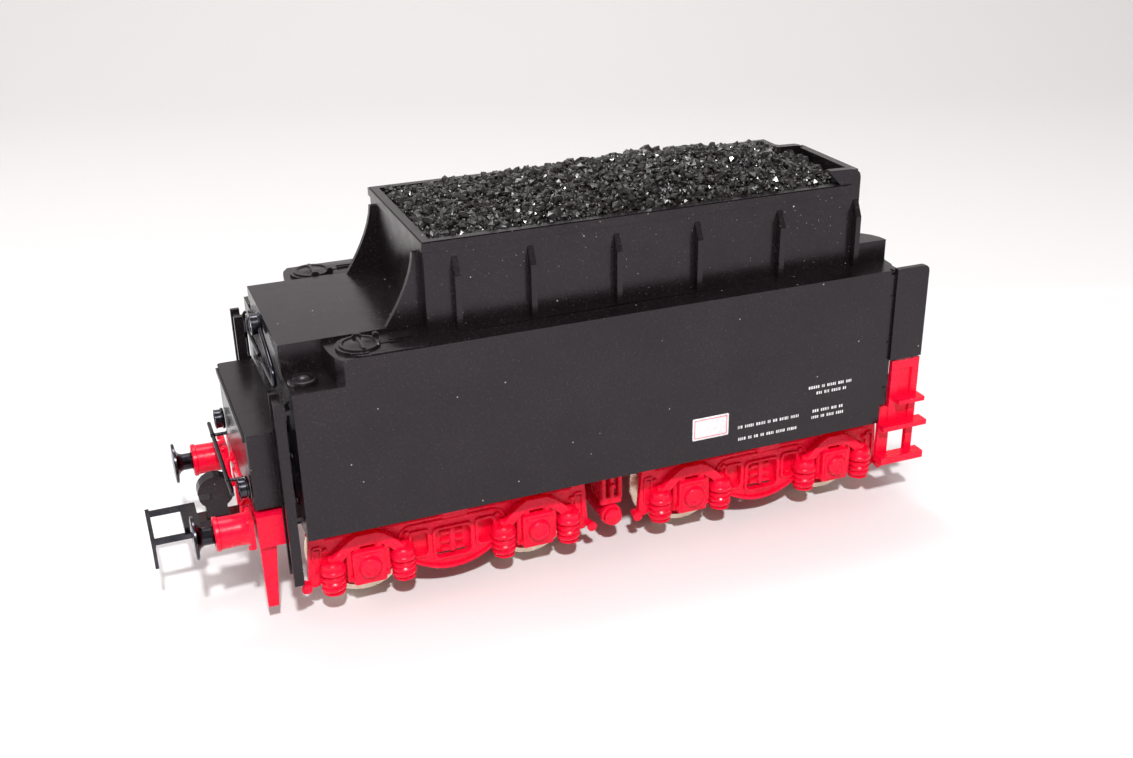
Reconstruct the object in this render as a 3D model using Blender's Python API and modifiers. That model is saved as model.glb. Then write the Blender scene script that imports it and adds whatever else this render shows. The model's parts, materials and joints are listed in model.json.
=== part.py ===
"""Bogie tender of a 1:87 model steam locomotive, as an assembly of its separate pieces.

+X is the end that couples to the locomotive, +Y is the left side and +Z is up.
Z = 0 is the plane that the wheel flanges touch. Lengths below are in millimetres, and
lengths along X are counted from the middle of the tank.
"""

import math

import bmesh
import bpy
from mathutils import Matrix, Vector

MM = 0.001  # shapes are drawn in millimetres and brought to metres when they are finished
GAP = 0.3  # clearance between neighbouring pieces
WELD = 1e-4

# Whole tender
TANK_MIDDLE_X = 1.0  # the tank's middle, ahead of the middle of the overall length

# Tank and bunker moulding
TANK_END = 38.5  # half the tank's length
TANK_HALF = 16.64
SKIRT_Z = 13.56
LEDGE_Z = 35.2
WALL = 1.0
DECK_Z = 35.7
DECK_HALF = 10.48
SHOULDER_Z = 32.1
NOTCH_X = -32.5
NOTCH_BULGE = 1.2
FRONT_BAY_X = 40.2
FRONT_BAY_HALF = 13.3
BUNKER_REAR = -21.64
BUNKER_FRONT = 35.7
BUNKER_HALF = 12.27
RIM_Z = 46.0
COAMING_Z = 47.9
COAMING_LEFT = 1.9
BUNKER_FLOOR = 36.2
RIB_SPOTS = (-18.0, -8.8, 2.1, 12.8, 24.2, 35.2)
RIB_DEPTH = 1.05
RIB_THICK = 0.7
RIB_TOP = 44.0
BRACE_TOP = 44.3
BRACE_Y = 9.6
BOSS_X, BOSS_Y, BOSS_R = 1.75, 13.2, 2.2

# Underframe
FLOOR_BOTTOM = 14.2
FLOOR_TOP = 15.6
FLOOR_HALF = 15.3
TONGUE_HALF = 8.5
TONGUE_END = -42.1
FLOOR_FRONT = 44.2

# Rear end
BOX_REAR = -43.52
BOX_HALF = 11.32
BOX_TOP = 25.6
BEAM_REAR = -43.55
BEAM_HALF = 12.3
BEAM_BOTTOM = 11.36
BEAM_TOP = 15.43
BUFFER_Y = 10.05
BUFFER_Z = 13.2
SLEEVE_END = -48.36
SLEEVE_R = 1.95
BUFFER_FACE = -50.83
BUFFER_R = 2.6
LAMP_Y, LAMP_Z = 10.0, 18.5
LAMP_GAP = 0.15

# Couplings
COUPLER_PIVOT_X = -38.6
COUPLER_Z = 9.8
LOOP_PIVOT_X = -50.3
LOOP_END = -55.3
DRAWBAR_PIVOT_X = 46.5
DRAWBAR_TIP = 53.3
DRAWBAR_Z = 10.2

# Bogies and wheels
BOGIE_SPOTS = {"rear": -20.1, "front": 23.6}
AXLE_OFFSET = 10.92
AXLE_Z = 6.85
AXLE_R = 1.0
TREAD_R = 5.75
WHEEL_BACK = 7.2
WHEEL_FACE = 10.0
BORE_R = 1.15
FRAME_INNER = 10.7
FRAME_OUTER = 12.0
FRAME_END = 18.3
SPRING_OFFSET = 4.4
SPRING_R = 1.6
SPRING_Y = 12.4
SPRING_FOOT = 3.4

COLOURS = {
    "black_plastic": ((0.022, 0.021, 0.023), 0.45, 0.0),
    "red_plastic": ((0.72, 0.010, 0.035), 0.4, 0.0),
    "coal": ((0.008, 0.008, 0.009), 0.3, 0.0),
    "blackened_metal": ((0.05, 0.05, 0.055), 0.28, 1.0),
    "nickel_steel": ((0.72, 0.68, 0.58), 0.3, 1.0),
    "zinc_weight": ((0.42, 0.42, 0.43), 0.5, 1.0),
}


def clear_scene():
    for obj in list(bpy.data.objects):
        bpy.data.objects.remove(obj, do_unlink=True)


def make_material(name):
    colour, roughness, metallic = COLOURS[name]
    material = bpy.data.materials.new(name)
    material.use_nodes = True
    shader = material.node_tree.nodes["Principled BSDF"]
    shader.inputs["Base Color"].default_value = (*colour, 1.0)
    shader.inputs["Roughness"].default_value = roughness
    shader.inputs["Metallic"].default_value = metallic
    return material


clear_scene()
MATERIALS = {name: make_material(name) for name in COLOURS}
PARTS = bpy.data.collections.new("bogie_tender")
bpy.context.scene.collection.children.link(PARTS)
TENDER = bpy.data.objects.new("tender_middle", None)
TENDER.location = (TANK_MIDDLE_X * MM, 0, 0)
PARTS.objects.link(TENDER)


# ---------------------------------------------------------------- shapes


def place(bm, name="piece"):
    """A loose working object that holds this mesh."""
    mesh = bpy.data.meshes.new(name)
    bm.to_mesh(mesh)
    bm.free()
    obj = bpy.data.objects.new(name, mesh)
    PARTS.objects.link(obj)
    return obj


def box(x0, x1, y0, y1, z0, z1):
    bm = bmesh.new()
    bmesh.ops.create_cube(bm, size=1.0)
    size = Vector((x1 - x0, y1 - y0, z1 - z0))
    middle = Vector((x0 + x1, y0 + y1, z0 + z1)) / 2
    bm.transform(Matrix.Translation(middle) @ Matrix.Diagonal((*size, 1)))
    return place(bm)


TURNS = {
    "X": Matrix.Rotation(math.pi / 2, 4, "Y"),
    "Y": Matrix.Rotation(-math.pi / 2, 4, "X"),
    "Z": Matrix.Identity(4),
}


def rod(axis, start, end, across, radius, tip_radius=None, sides=16):
    """A cylinder or a cone from start to end along an axis, at the given place across it."""
    bm = bmesh.new()
    last = radius if tip_radius is None else tip_radius
    length = end - start
    bmesh.ops.create_cone(
        bm, cap_ends=True, segments=sides, radius1=radius, radius2=last, depth=length
    )
    halfway = (start + end) / 2
    if axis == "X":
        spot = (halfway, across[0], across[1])
    elif axis == "Y":
        spot = (across[0], halfway, across[1])
    else:
        spot = (across[0], across[1], halfway)
    bm.transform(Matrix.Translation(Vector(spot)) @ TURNS[axis])
    return place(bm)


def plate(outlines, plane, low, high):
    """A flat outline, with any holes as further outlines, between two heights across its plane."""
    curve = bpy.data.curves.new("outline", "CURVE")
    curve.dimensions = "2D"
    curve.fill_mode = "BOTH"
    curve.extrude = (high - low) / 2
    for outline in outlines:
        spline = curve.splines.new("POLY")
        spline.points.add(len(outline) - 1)
        spline.use_cyclic_u = True
        for point, (u, v) in zip(spline.points, outline):
            point.co = (u, v, 0, 1)
    flat = bpy.data.objects.new("outline", curve)
    PARTS.objects.link(flat)
    graph = bpy.context.evaluated_depsgraph_get()
    mesh = bpy.data.meshes.new_from_object(flat.evaluated_get(graph))
    bpy.data.objects.remove(flat)
    bm = bmesh.new()
    bm.from_mesh(mesh)
    bmesh.ops.remove_doubles(bm, verts=bm.verts, dist=WELD)
    halfway = (low + high) / 2
    if plane == "XY":
        bm.transform(Matrix.Translation((0, 0, halfway)))
    elif plane == "XZ":
        bm.transform(Matrix.Translation((0, halfway, 0)) @ Matrix.Rotation(math.pi / 2, 4, "X"))
    else:  # YZ: the first number of a point runs along +Y, the second along +Z
        turn = Matrix(((0, 0, 1, 0), (1, 0, 0, 0), (0, 1, 0, 0), (0, 0, 0, 1)))
        bm.transform(Matrix.Translation((halfway, 0, 0)) @ turn)
    bmesh.ops.recalc_face_normals(bm, faces=bm.faces)
    return place(bm)


def turned(profile, sides, spot, axis="Y"):
    """A ring-shaped piece: a closed profile of (distance along the axis, radius), turned round it."""
    bm = bmesh.new()
    loop = [bm.verts.new((radius, 0, along)) for along, radius in profile]
    for first, second in zip(loop, loop[1:] + loop[:1]):
        bm.edges.new((first, second))
    obj = place(bm)
    screw = obj.modifiers.new("turn", "SCREW")
    screw.axis = "Z"
    screw.steps = screw.render_steps = sides
    screw.use_merge_vertices = True
    screw.merge_threshold = WELD
    bake(obj)
    bm = bmesh.new()
    bm.from_mesh(obj.data)
    bmesh.ops.remove_doubles(bm, verts=bm.verts, dist=WELD)
    bm.transform(Matrix.Translation(Vector(spot)) @ TURNS[axis])
    bmesh.ops.recalc_face_normals(bm, faces=bm.faces)
    bm.to_mesh(obj.data)
    bm.free()
    return obj


def wire(points, radius, sides=2):
    """A bent round wire through the points."""
    curve = bpy.data.curves.new("wire", "CURVE")
    curve.dimensions = "3D"
    curve.bevel_depth = radius
    curve.bevel_resolution = sides
    curve.use_fill_caps = True
    spline = curve.splines.new("POLY")
    spline.points.add(len(points) - 1)
    for point, spot in zip(spline.points, points):
        point.co = (*spot, 1)
    bent = bpy.data.objects.new("wire", curve)
    PARTS.objects.link(bent)
    graph = bpy.context.evaluated_depsgraph_get()
    mesh = bpy.data.meshes.new_from_object(bent.evaluated_get(graph))
    bpy.data.objects.remove(bent)
    bm = bmesh.new()
    bm.from_mesh(mesh)
    bmesh.ops.remove_doubles(bm, verts=bm.verts, dist=WELD)
    bmesh.ops.recalc_face_normals(bm, faces=bm.faces)
    return place(bm)


def bake(obj):
    """Makes the object's modifiers part of its mesh."""
    bpy.context.view_layer.update()
    graph = bpy.context.evaluated_depsgraph_get()
    mesh = bpy.data.meshes.new_from_object(obj.evaluated_get(graph))
    obj.modifiers.clear()
    obj.data = mesh


def combine(operation, base, others):
    for other in others:
        modifier = base.modifiers.new(operation.lower(), "BOOLEAN")
        modifier.operation = operation
        modifier.solver = "EXACT"
        modifier.object = other
    bake(base)
    for other in others:
        bpy.data.objects.remove(other, do_unlink=True)
    return base


def join(base, *others):
    return combine("UNION", base, others)


def cut(base, *cutters):
    return combine("DIFFERENCE", base, cutters)


def arc(centre, radius, start, end, steps):
    """Points on a circle, angles in degrees."""
    angles = [math.radians(start + (end - start) * i / steps) for i in range(steps + 1)]
    return [(centre[0] + radius * math.cos(a), centre[1] + radius * math.sin(a)) for a in angles]


def rounded(u0, u1, v0, v1, radius, steps=3):
    """A rectangle's outline with round corners."""
    corners = (
        ((u1 - radius, v1 - radius), 0),
        ((u0 + radius, v1 - radius), 90),
        ((u0 + radius, v0 + radius), 180),
        ((u1 - radius, v0 + radius), 270),
    )
    return [p for centre, turn in corners for p in arc(centre, radius, turn, turn + 90, steps)]


def finish(obj, name, material, parent=TENDER, spot=(0, 0, 0), turn=0.0):
    """Names a shape, gives it its material and hangs it on its parent with its origin at spot."""
    obj.name = name
    obj.data.name = name
    obj.data.transform(Matrix.Scale(MM, 4) @ Matrix.Translation(-Vector(spot)))
    obj.data.materials.clear()
    obj.data.materials.append(MATERIALS[material])
    obj.data.shade_smooth()
    obj.data.set_sharp_from_angle(angle=math.radians(35))
    obj.parent = parent
    obj.location = Vector(spot) * MM
    obj.rotation_euler = (0, 0, turn)
    return obj


def copy_of(obj, name, parent, spot, turn=0.0):
    """Another piece from the same mould."""
    twin = bpy.data.objects.new(name, obj.data)
    PARTS.objects.link(twin)
    twin.parent = parent
    twin.location = Vector(spot) * MM
    twin.rotation_euler = (0, 0, turn)
    return twin


def sided(make):
    """Both hands of a piece: make(side) builds it with side = +1 on the left, -1 on the right."""
    for side, hand in ((1, "left"), (-1, "right")):
        make(side, hand)


# ---------------------------------------------------------------- tank and bunker


def between(side, inner, outer):
    """The two y values of a strip from inner to outer on this side, in rising order."""
    return tuple(sorted((side * inner, side * outer)))


def notch_outline(side):
    """The low corner behind the filler hatch, whose front edge bulges to the rear."""
    edge = []
    steps = 5
    for i in range(steps + 1):
        share = i / steps
        bulge = NOTCH_BULGE * math.sqrt(1 - share * share)
        edge.append((NOTCH_X - bulge, side * (DECK_HALF + share * (TANK_HALF - DECK_HALF))))
    edge.append((NOTCH_X, side * (TANK_HALF + 1)))
    return [*edge, (-TANK_END - 1, side * (TANK_HALF + 1)), (-TANK_END - 1, side * DECK_HALF)]


def front_outline():
    """The tank's front end from above: the side walls curve in to a narrower front bay."""
    bend = FRONT_BAY_X - TANK_END + 0.1
    widest = TANK_HALF - 0.5
    left = [
        (TANK_END - 0.2 + bend * math.sin(a), FRONT_BAY_HALF + (widest - FRONT_BAY_HALF) * math.cos(a))
        for a in (0.0, 0.4, 0.8, 1.2, math.pi / 2)
    ]
    right = [(x, -y) for x, y in reversed(left)]
    return [(TANK_END - 2, widest), *left, *right, (TANK_END - 2, -widest)]


def gusset_outline():
    """A brace behind the bunker's rear wall, hollow along its free edge."""
    steps = 7
    edge = []
    for i in range(steps + 1):
        share = i / steps
        edge.append((BUNKER_REAR - 0.75 - 3.7 * share**1.6, BRACE_TOP - (BRACE_TOP - DECK_Z) * share))
    foot = DECK_Z - 0.3
    return [(BUNKER_REAR + 0.3, BRACE_TOP), *edge, (edge[-1][0], foot), (BUNKER_REAR + 0.3, foot)]


def ear_outline():
    """The round-cornered end plate of the bunker's front coaming."""
    corner = (BUNKER_FRONT - 1.3, COAMING_Z - 1.1)
    front = [(corner[0] + 1.3 * math.cos(a), corner[1] + 1.1 * math.sin(a)) for a in (0, 0.5, 1.05, 1.57)]
    return [(BUNKER_FRONT, RIM_Z - 2), *front, (31.2, COAMING_Z + 0.1), (31.1, COAMING_Z - 0.1), (34.7, RIM_Z - 2)]


def rib_outline(side):
    """A wall rib in the plane across the tender, its top sloped away from the wall."""
    root, face = side * (BUNKER_HALF - 0.2), side * (BUNKER_HALF + RIB_DEPTH)
    return [(root, LEDGE_Z - 0.2), (face, LEDGE_Z - 0.2), (face, RIB_TOP - 2.2), (root, RIB_TOP + 0.3)]


def make_shell():
    shell = box(-TANK_END, TANK_END, -TANK_HALF, TANK_HALF, SKIRT_Z, LEDGE_Z)
    cut(
        shell,
        plate([notch_outline(1)], "XY", SHOULDER_Z, LEDGE_Z + 1),
        plate([notch_outline(-1)], "XY", SHOULDER_Z, LEDGE_Z + 1),
    )
    join(
        shell,
        plate([front_outline()], "XY", FLOOR_TOP + GAP, LEDGE_Z),
        box(-TANK_END - 0.14, BUNKER_REAR + 1, -DECK_HALF, DECK_HALF, LEDGE_Z - 1.2, DECK_Z),
        box(BUNKER_REAR, BUNKER_FRONT, -BUNKER_HALF, BUNKER_HALF, LEDGE_Z - 0.2, RIM_Z),
        box(BUNKER_REAR - 0.2, 34.4, -BUNKER_HALF - 0.25, BUNKER_HALF + 0.25, RIM_Z - 1.1, RIM_Z - 0.1),
    )
    inside = TANK_HALF - WALL
    cut(
        shell,
        box(NOTCH_X + 1.2, TANK_END - WALL, -inside, inside, SKIRT_Z - 1, LEDGE_Z - WALL),
        box(-TANK_END + WALL, NOTCH_X + 1.3, -inside, inside, SKIRT_Z - 1, SHOULDER_Z - WALL),
        box(-TANK_END + WALL, NOTCH_X + 1.3, -DECK_HALF + 1, DECK_HALF - 1, SKIRT_Z, LEDGE_Z - WALL),
        box(-TANK_END - 1, -TANK_END + 2, -TONGUE_HALF - 0.5, TONGUE_HALF + 0.5, SKIRT_Z - 1, FLOOR_TOP + GAP),
        box(TANK_END - 2, FRONT_BAY_X + 1, -inside, inside, SKIRT_Z - 1, FLOOR_TOP + GAP),
        box(BUNKER_REAR + 1, 34.3, 1 - BUNKER_HALF, BUNKER_HALF - 1, BUNKER_FLOOR, RIM_Z + 1),
    )
    ears = [
        plate([ear_outline()], "XZ", -BUNKER_HALF, 0.95 - BUNKER_HALF),
        plate([ear_outline()], "XZ", COAMING_LEFT - 1.1, COAMING_LEFT),
        box(34.45, BUNKER_FRONT - 0.2, 0.4 - BUNKER_HALF, COAMING_LEFT - 0.4, RIM_Z - 1, COAMING_Z - 0.2),
    ]
    ribs = []
    braces = []
    for side in (1, -1):
        for x in RIB_SPOTS:
            ribs.append(plate([rib_outline(side)], "YZ", x - RIB_THICK / 2, x + RIB_THICK / 2))
        braces.append(plate([gusset_outline()], "XZ", *between(side, BRACE_Y, BRACE_Y + 0.75)))
        # quarter-round locker beside the bunker's front, filler hatch rim and shoulder cap
        corner = (BUNKER_FRONT - 0.2, side * (BUNKER_HALF - 0.1))
        quarter = arc(corner, 4.9, 0, -90 * side, 6)
        braces.append(plate([[*quarter, corner]], "XY", LEDGE_Z - 0.3, 37.8))
        hatch = (-29.9, side * 13.3)
        rim = arc(hatch, 2.8, 80, 280, 10) + arc(hatch, 2.4, 280, 80, 10)
        braces.append(plate([rim], "XY", LEDGE_Z - 0.3, LEDGE_Z + 0.32))
        braces.append(box(-28.3, -25.9, *between(side, 13.1, 13.8), LEDGE_Z - 0.3, LEDGE_Z + 0.25))
        braces.append(rod("Z", SHOULDER_Z - 0.3, SHOULDER_Z + 0.45, (-36.7, side * 13.6), 1.7))
        braces.append(rod("Z", FLOOR_TOP + GAP, LEDGE_Z - 0.5, (BOSS_X, side * BOSS_Y), BOSS_R))
    join(shell, *ears, *ribs, *braces)
    cut(shell, *(rod("Z", FLOOR_TOP - 1, 26.0, (BOSS_X, side * BOSS_Y), BORE_R) for side in (1, -1)))
    finish(shell, "tank_shell", "black_plastic")


def coal_height(x, y):
    """The heap: level with the rim at the rear, highest ahead of the middle, lower at the front."""
    along = (x - BUNKER_REAR) / (34.0 - BUNKER_REAR)
    swell = math.sin(0.9 * math.pi * min(1.0, along) ** 1.35)
    across = max(0.0, 1 - (y / BUNKER_HALF) ** 2)
    lumps = 0.22 * math.sin(1.9 * x + 2.3 * y) + 0.2 * math.sin(2.7 * y - 1.3 * x + 1.0)
    return RIM_Z - 0.4 + 3.4 * swell * across**0.7 + lumps * min(1.0, across * 3)


def make_coal():
    x0, x1 = BUNKER_REAR + 1 + GAP, 34.3 - GAP
    half = BUNKER_HALF - 1 - GAP
    bm = bmesh.new()
    bmesh.ops.create_grid(bm, x_segments=27, y_segments=11, size=0.5)
    floor = BUNKER_FLOOR + GAP
    for vert in bm.verts:
        x = x0 + (vert.co.x + 0.5) * (x1 - x0)
        y = vert.co.y * 2 * half
        vert.co = Vector((x, y, coal_height(x, y)))
    edge = [e for e in bm.edges if e.is_boundary]
    skirt = bmesh.ops.extrude_edge_only(bm, edges=edge)["geom"]
    for vert in (v for v in skirt if isinstance(v, bmesh.types.BMVert)):
        vert.co.z = floor
    bmesh.ops.holes_fill(bm, edges=[e for e in bm.edges if e.is_boundary])
    bmesh.ops.recalc_face_normals(bm, faces=bm.faces)
    heap = place(bm)
    cut(heap, box(31.0 - GAP, 35, COAMING_LEFT - 1.1 - GAP, COAMING_LEFT + GAP, RIM_Z - 2 - GAP, RIM_Z + 9))
    finish(heap, "coal_load", "coal")


# ---------------------------------------------------------------- underframe and what it carries


def make_underframe():
    outline = [
        (TONGUE_END, TONGUE_HALF),
        (TONGUE_END, -TONGUE_HALF),
        (-37.1, -TONGUE_HALF),
        (-37.1, -FLOOR_HALF),
        (FLOOR_FRONT, -FLOOR_HALF),
        (FLOOR_FRONT, FLOOR_HALF),
        (-37.1, FLOOR_HALF),
        (-37.1, TONGUE_HALF),
    ]
    floor = plate([outline], "XY", FLOOR_BOTTOM, FLOOR_TOP)
    for x in BOGIE_SPOTS.values():
        join(floor, rod("Z", 12.9, FLOOR_BOTTOM + 0.3, (x, 0), 2.7))
    post_end = DRAWBAR_PIVOT_X + 1.8
    join(
        floor,
        box(FLOOR_FRONT - 2.2, post_end, -3.0, 3.0, 13.2, FLOOR_TOP),
        rod("Z", DRAWBAR_Z + 1.1, FLOOR_BOTTOM, (DRAWBAR_PIVOT_X, 0), 1.8),
    )
    holes = [rod("Z", 12, FLOOR_TOP + 1, (x, 0), 1.35) for x in BOGIE_SPOTS.values()]
    holes += [rod("Z", 12, FLOOR_TOP + 1, (BOSS_X, side * BOSS_Y), BORE_R) for side in (1, -1)]
    holes.append(rod("Z", 10, FLOOR_TOP + 1, (DRAWBAR_PIVOT_X, 0), 0.95))
    cut(floor, *holes)
    finish(floor, "underframe", "red_plastic")


def make_ballast():
    top = 24.0
    weight = plate([rounded(-30.0, 34.0, -10.2, 10.2, 1.5, 2)], "XY", FLOOR_TOP + 0.75, top)
    finish(weight, "ballast_weight", "zinc_weight")


def make_screw(name, spot, head_bottom, head_top, tip, shank_r, head_r):
    """A slotted screw driven in from below."""
    screw = rod("Z", head_bottom, head_top, spot, head_r)
    join(screw, rod("Z", head_top - 0.2, tip, spot, shank_r, sides=12))
    cut(screw, box(spot[0] - 3, spot[0] + 3, spot[1] - 0.2, spot[1] + 0.2, head_bottom - 1, head_bottom + 0.4))
    finish(screw, name, "nickel_steel", spot=(spot[0], spot[1], head_top))


def make_reservoir():
    x = BOSS_X
    hanger = box(x - 1.45, x + 1.45, -10.6, 10.6, 11.6, FLOOR_BOTTOM - GAP)
    join(
        hanger,
        box(x - 1.2, x + 1.2, -9.6, -7.2, 6.75, 12.0),
        box(x - 1.2, x + 1.2, 7.2, 9.6, 6.75, 12.0),
        box(x - 1.0, x + 1.0, -10.0, 10.0, 8.6, 9.6),
    )
    finish(hanger, "reservoir_hanger", "red_plastic")
    tank = rod("Y", -11.4, 11.4, (x, 4.95), 1.48, sides=18)
    join(tank, rod("Y", -12.2, 12.2, (x, 4.95), 1.1, sides=12))
    finish(tank, "air_reservoir", "red_plastic", spot=(x, 0, 4.95))


def make_front_end():
    bulkhead = plate([rounded(-11.9, 11.9, 16.4, 34.6, 1.0)], "YZ", FRONT_BAY_X + GAP, FRONT_BAY_X + 1.1)
    join(
        bulkhead,
        box(FRONT_BAY_X + 1.0, FRONT_BAY_X + 1.6, -3.6, 3.6, 17.0, 27.5),
        *(box(FRONT_BAY_X + 1.0, FRONT_BAY_X + 1.5, *between(s, 5.2, 10.6), 18.0, 31.5) for s in (1, -1)),
    )
    finish(bulkhead, "front_bulkhead", "black_plastic")

    def side_sheet(side, hand):
        corner = arc((43.6, 34.45), 0.75, 90, 0, 3)
        outline = [(39.52, 22.5), (39.52, LEDGE_Z), *corner, (44.35, 22.5)]
        sheet = plate([outline], "XZ", *between(side, TANK_HALF - 0.75, TANK_HALF))
        join(sheet, box(40.6, 41.4, *between(side, 12.2, TANK_HALF - 0.5), 22.5, 34.2))
        finish(sheet, f"side_sheet_{hand}", "black_plastic")

    def front_steps(side, hand):
        face = 16.45
        panel = between(side, face - 0.7, face)
        recessed = between(side, face - 0.65, face - 0.3)
        tread = between(side, face - 0.35, 17.9)
        steps = box(40.1, 41.3, *panel, 12.9, 22.2)
        join(
            steps,
            box(43.3, 44.35, *panel, 8.2, 22.2),
            box(40.6, 44.0, *panel, 20.9, 22.1),
            box(40.6, 44.0, *recessed, 13.0, 21.5),
            box(40.7, 44.7, *tread, 16.3, 16.9),
            box(38.6, 45.4, *tread, 12.6, 13.3),
            box(38.7, 45.3, *tread, 7.6, 8.6),
            box(38.8, 40.5, *between(side, face - 0.6, face - 0.1), 8.0, 15.5),
        )
        finish(steps, f"front_steps_{hand}", "red_plastic")

    sided(side_sheet)
    sided(front_steps)


# ---------------------------------------------------------------- rear end


def make_rear_end():
    front = -TANK_END - 0.45
    locker = plate([rounded(BOX_REAR, front, -BOX_HALF, BOX_HALF, 0.4, 2)], "XY", FLOOR_TOP + GAP, BOX_TOP)
    join(locker, box(BOX_REAR - 0.3, BOX_REAR + 0.5, -BOX_HALF + 0.6, BOX_HALF - 0.6, BOX_TOP - 1.0, BOX_TOP - 0.35))
    finish(locker, "rear_locker", "black_plastic")

    inner = 8.8
    outline = [
        (BEAM_REAR, -BEAM_HALF),
        (-40.15, -BEAM_HALF),
        (-40.15, -inner),
        (-42.4, -inner),
        (-42.4, inner),
        (-40.15, inner),
        (-40.15, BEAM_HALF),
        (BEAM_REAR, BEAM_HALF),
    ]
    beam = plate([outline], "XY", BEAM_BOTTOM, BEAM_TOP)
    finish(beam, "buffer_beam", "red_plastic")

    def buffer(side, hand):
        y = side * BUFFER_Y
        back = BEAM_REAR - GAP
        sleeve = rod("X", SLEEVE_END, back, (y, BUFFER_Z), SLEEVE_R, sides=18)
        join(
            sleeve,
            box(back - 0.6, back, y - 2.15, y + 2.15, BEAM_BOTTOM + 0.05, BEAM_TOP - 0.1),
            rod("X", SLEEVE_END, SLEEVE_END + 0.6, (y, BUFFER_Z), SLEEVE_R + 0.15, sides=18),
        )
        cut(sleeve, rod("X", SLEEVE_END - 1, -44.5, (y, BUFFER_Z), 1.35))
        finish(sleeve, f"buffer_sleeve_{hand}", "red_plastic", spot=(SLEEVE_END, y, BUFFER_Z))
        head = rod("X", BUFFER_FACE, BUFFER_FACE + 0.7, (y, BUFFER_Z), BUFFER_R, sides=24)
        join(
            head,
            rod("X", BUFFER_FACE + 0.5, -49.6, (y, BUFFER_Z), 1.9, 1.05, sides=16),
            rod("X", -49.9, -46.1, (y, BUFFER_Z), 1.05),
        )
        finish(head, f"buffer_{hand}", "blackened_metal", spot=(BUFFER_FACE, y, BUFFER_Z))

    def guard(side, hand):
        outline = [(-43.45, BEAM_BOTTOM - GAP), (-41.5, BEAM_BOTTOM - GAP), (-42.1, 2.7), (-43.35, 2.7)]
        iron = plate([outline], "XZ", *between(side, 10.6, 11.6))
        finish(iron, f"rail_guard_{hand}", "red_plastic")

    def ladder(side, hand):
        rear, face = -40.55, -39.4
        low, high = 7.5, 31.0
        climb = box(rear, face, *between(side, 12.4, 13.0), low, high)
        rungs = [box(rear + 0.2, face - 0.3, *between(side, 12.8, 15.6), z, z + 0.6) for z in (
            low + 0.4, 11.6, 15.4, 19.2, 23.0, 26.8, high - 1.0
        )]
        stays = [box(face - 0.4, -TANK_END - GAP, *between(side, 15.5, 15.9), z, z + 0.5) for z in (16.0, 29.5)]
        join(climb, box(rear, face, *between(side, 15.4, 16.0), low, high), *rungs, *stays)
        finish(climb, f"rear_ladder_{hand}", "black_plastic")

    def corner_rail(side, hand):
        x, y = -TANK_END - 0.48, side * 14.9
        rail = wire([(x, y, 17.5), (x, y, 24.0), (x, y, 30.8)], 0.2)
        finish(rail, f"corner_handrail_{hand}", "blackened_metal")

    def deck_rail(side, hand):
        x = -TANK_END - 0.14 - GAP - 0.3
        bends = [(x, side * 2.3, 34.6), (x, side * 5.8, 33.6), (x, side * 9.4, 32.0), (x, side * 9.6, 30.2)]
        rail = wire([*bends, (x, side * 6.0, 30.0), (x, side * 1.2, 30.0)], 0.27)
        finish(rail, f"deck_handrail_{hand}", "blackened_metal")

    for make in (buffer, guard, ladder, corner_rail, deck_rail):
        sided(make)

    bar = box(-45.9, -45.4, -10.2, 10.2, 17.7, 18.25)
    join(bar, *(box(-45.6, BOX_REAR - GAP, y - 0.3, y + 0.3, 17.75, 18.2) for y in (-6.5, 6.5)))
    finish(bar, "grab_bar", "blackened_metal")


def make_lamp(name, x, y, z, radius, length):
    """A round lamp that looks to the rear, its front at x - length."""
    lamp = rod("X", x - length, x, (y, z), radius, sides=18)
    join(lamp, rod("X", x - 0.5, x, (y, z - 0.2), radius + 0.2, sides=18))
    cut(lamp, rod("X", x - length - 1, x - length + 0.35, (y, z), radius - 0.3))
    finish(lamp, name, "blackened_metal", spot=(x, y, z))


# ---------------------------------------------------------------- couplings


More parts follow.
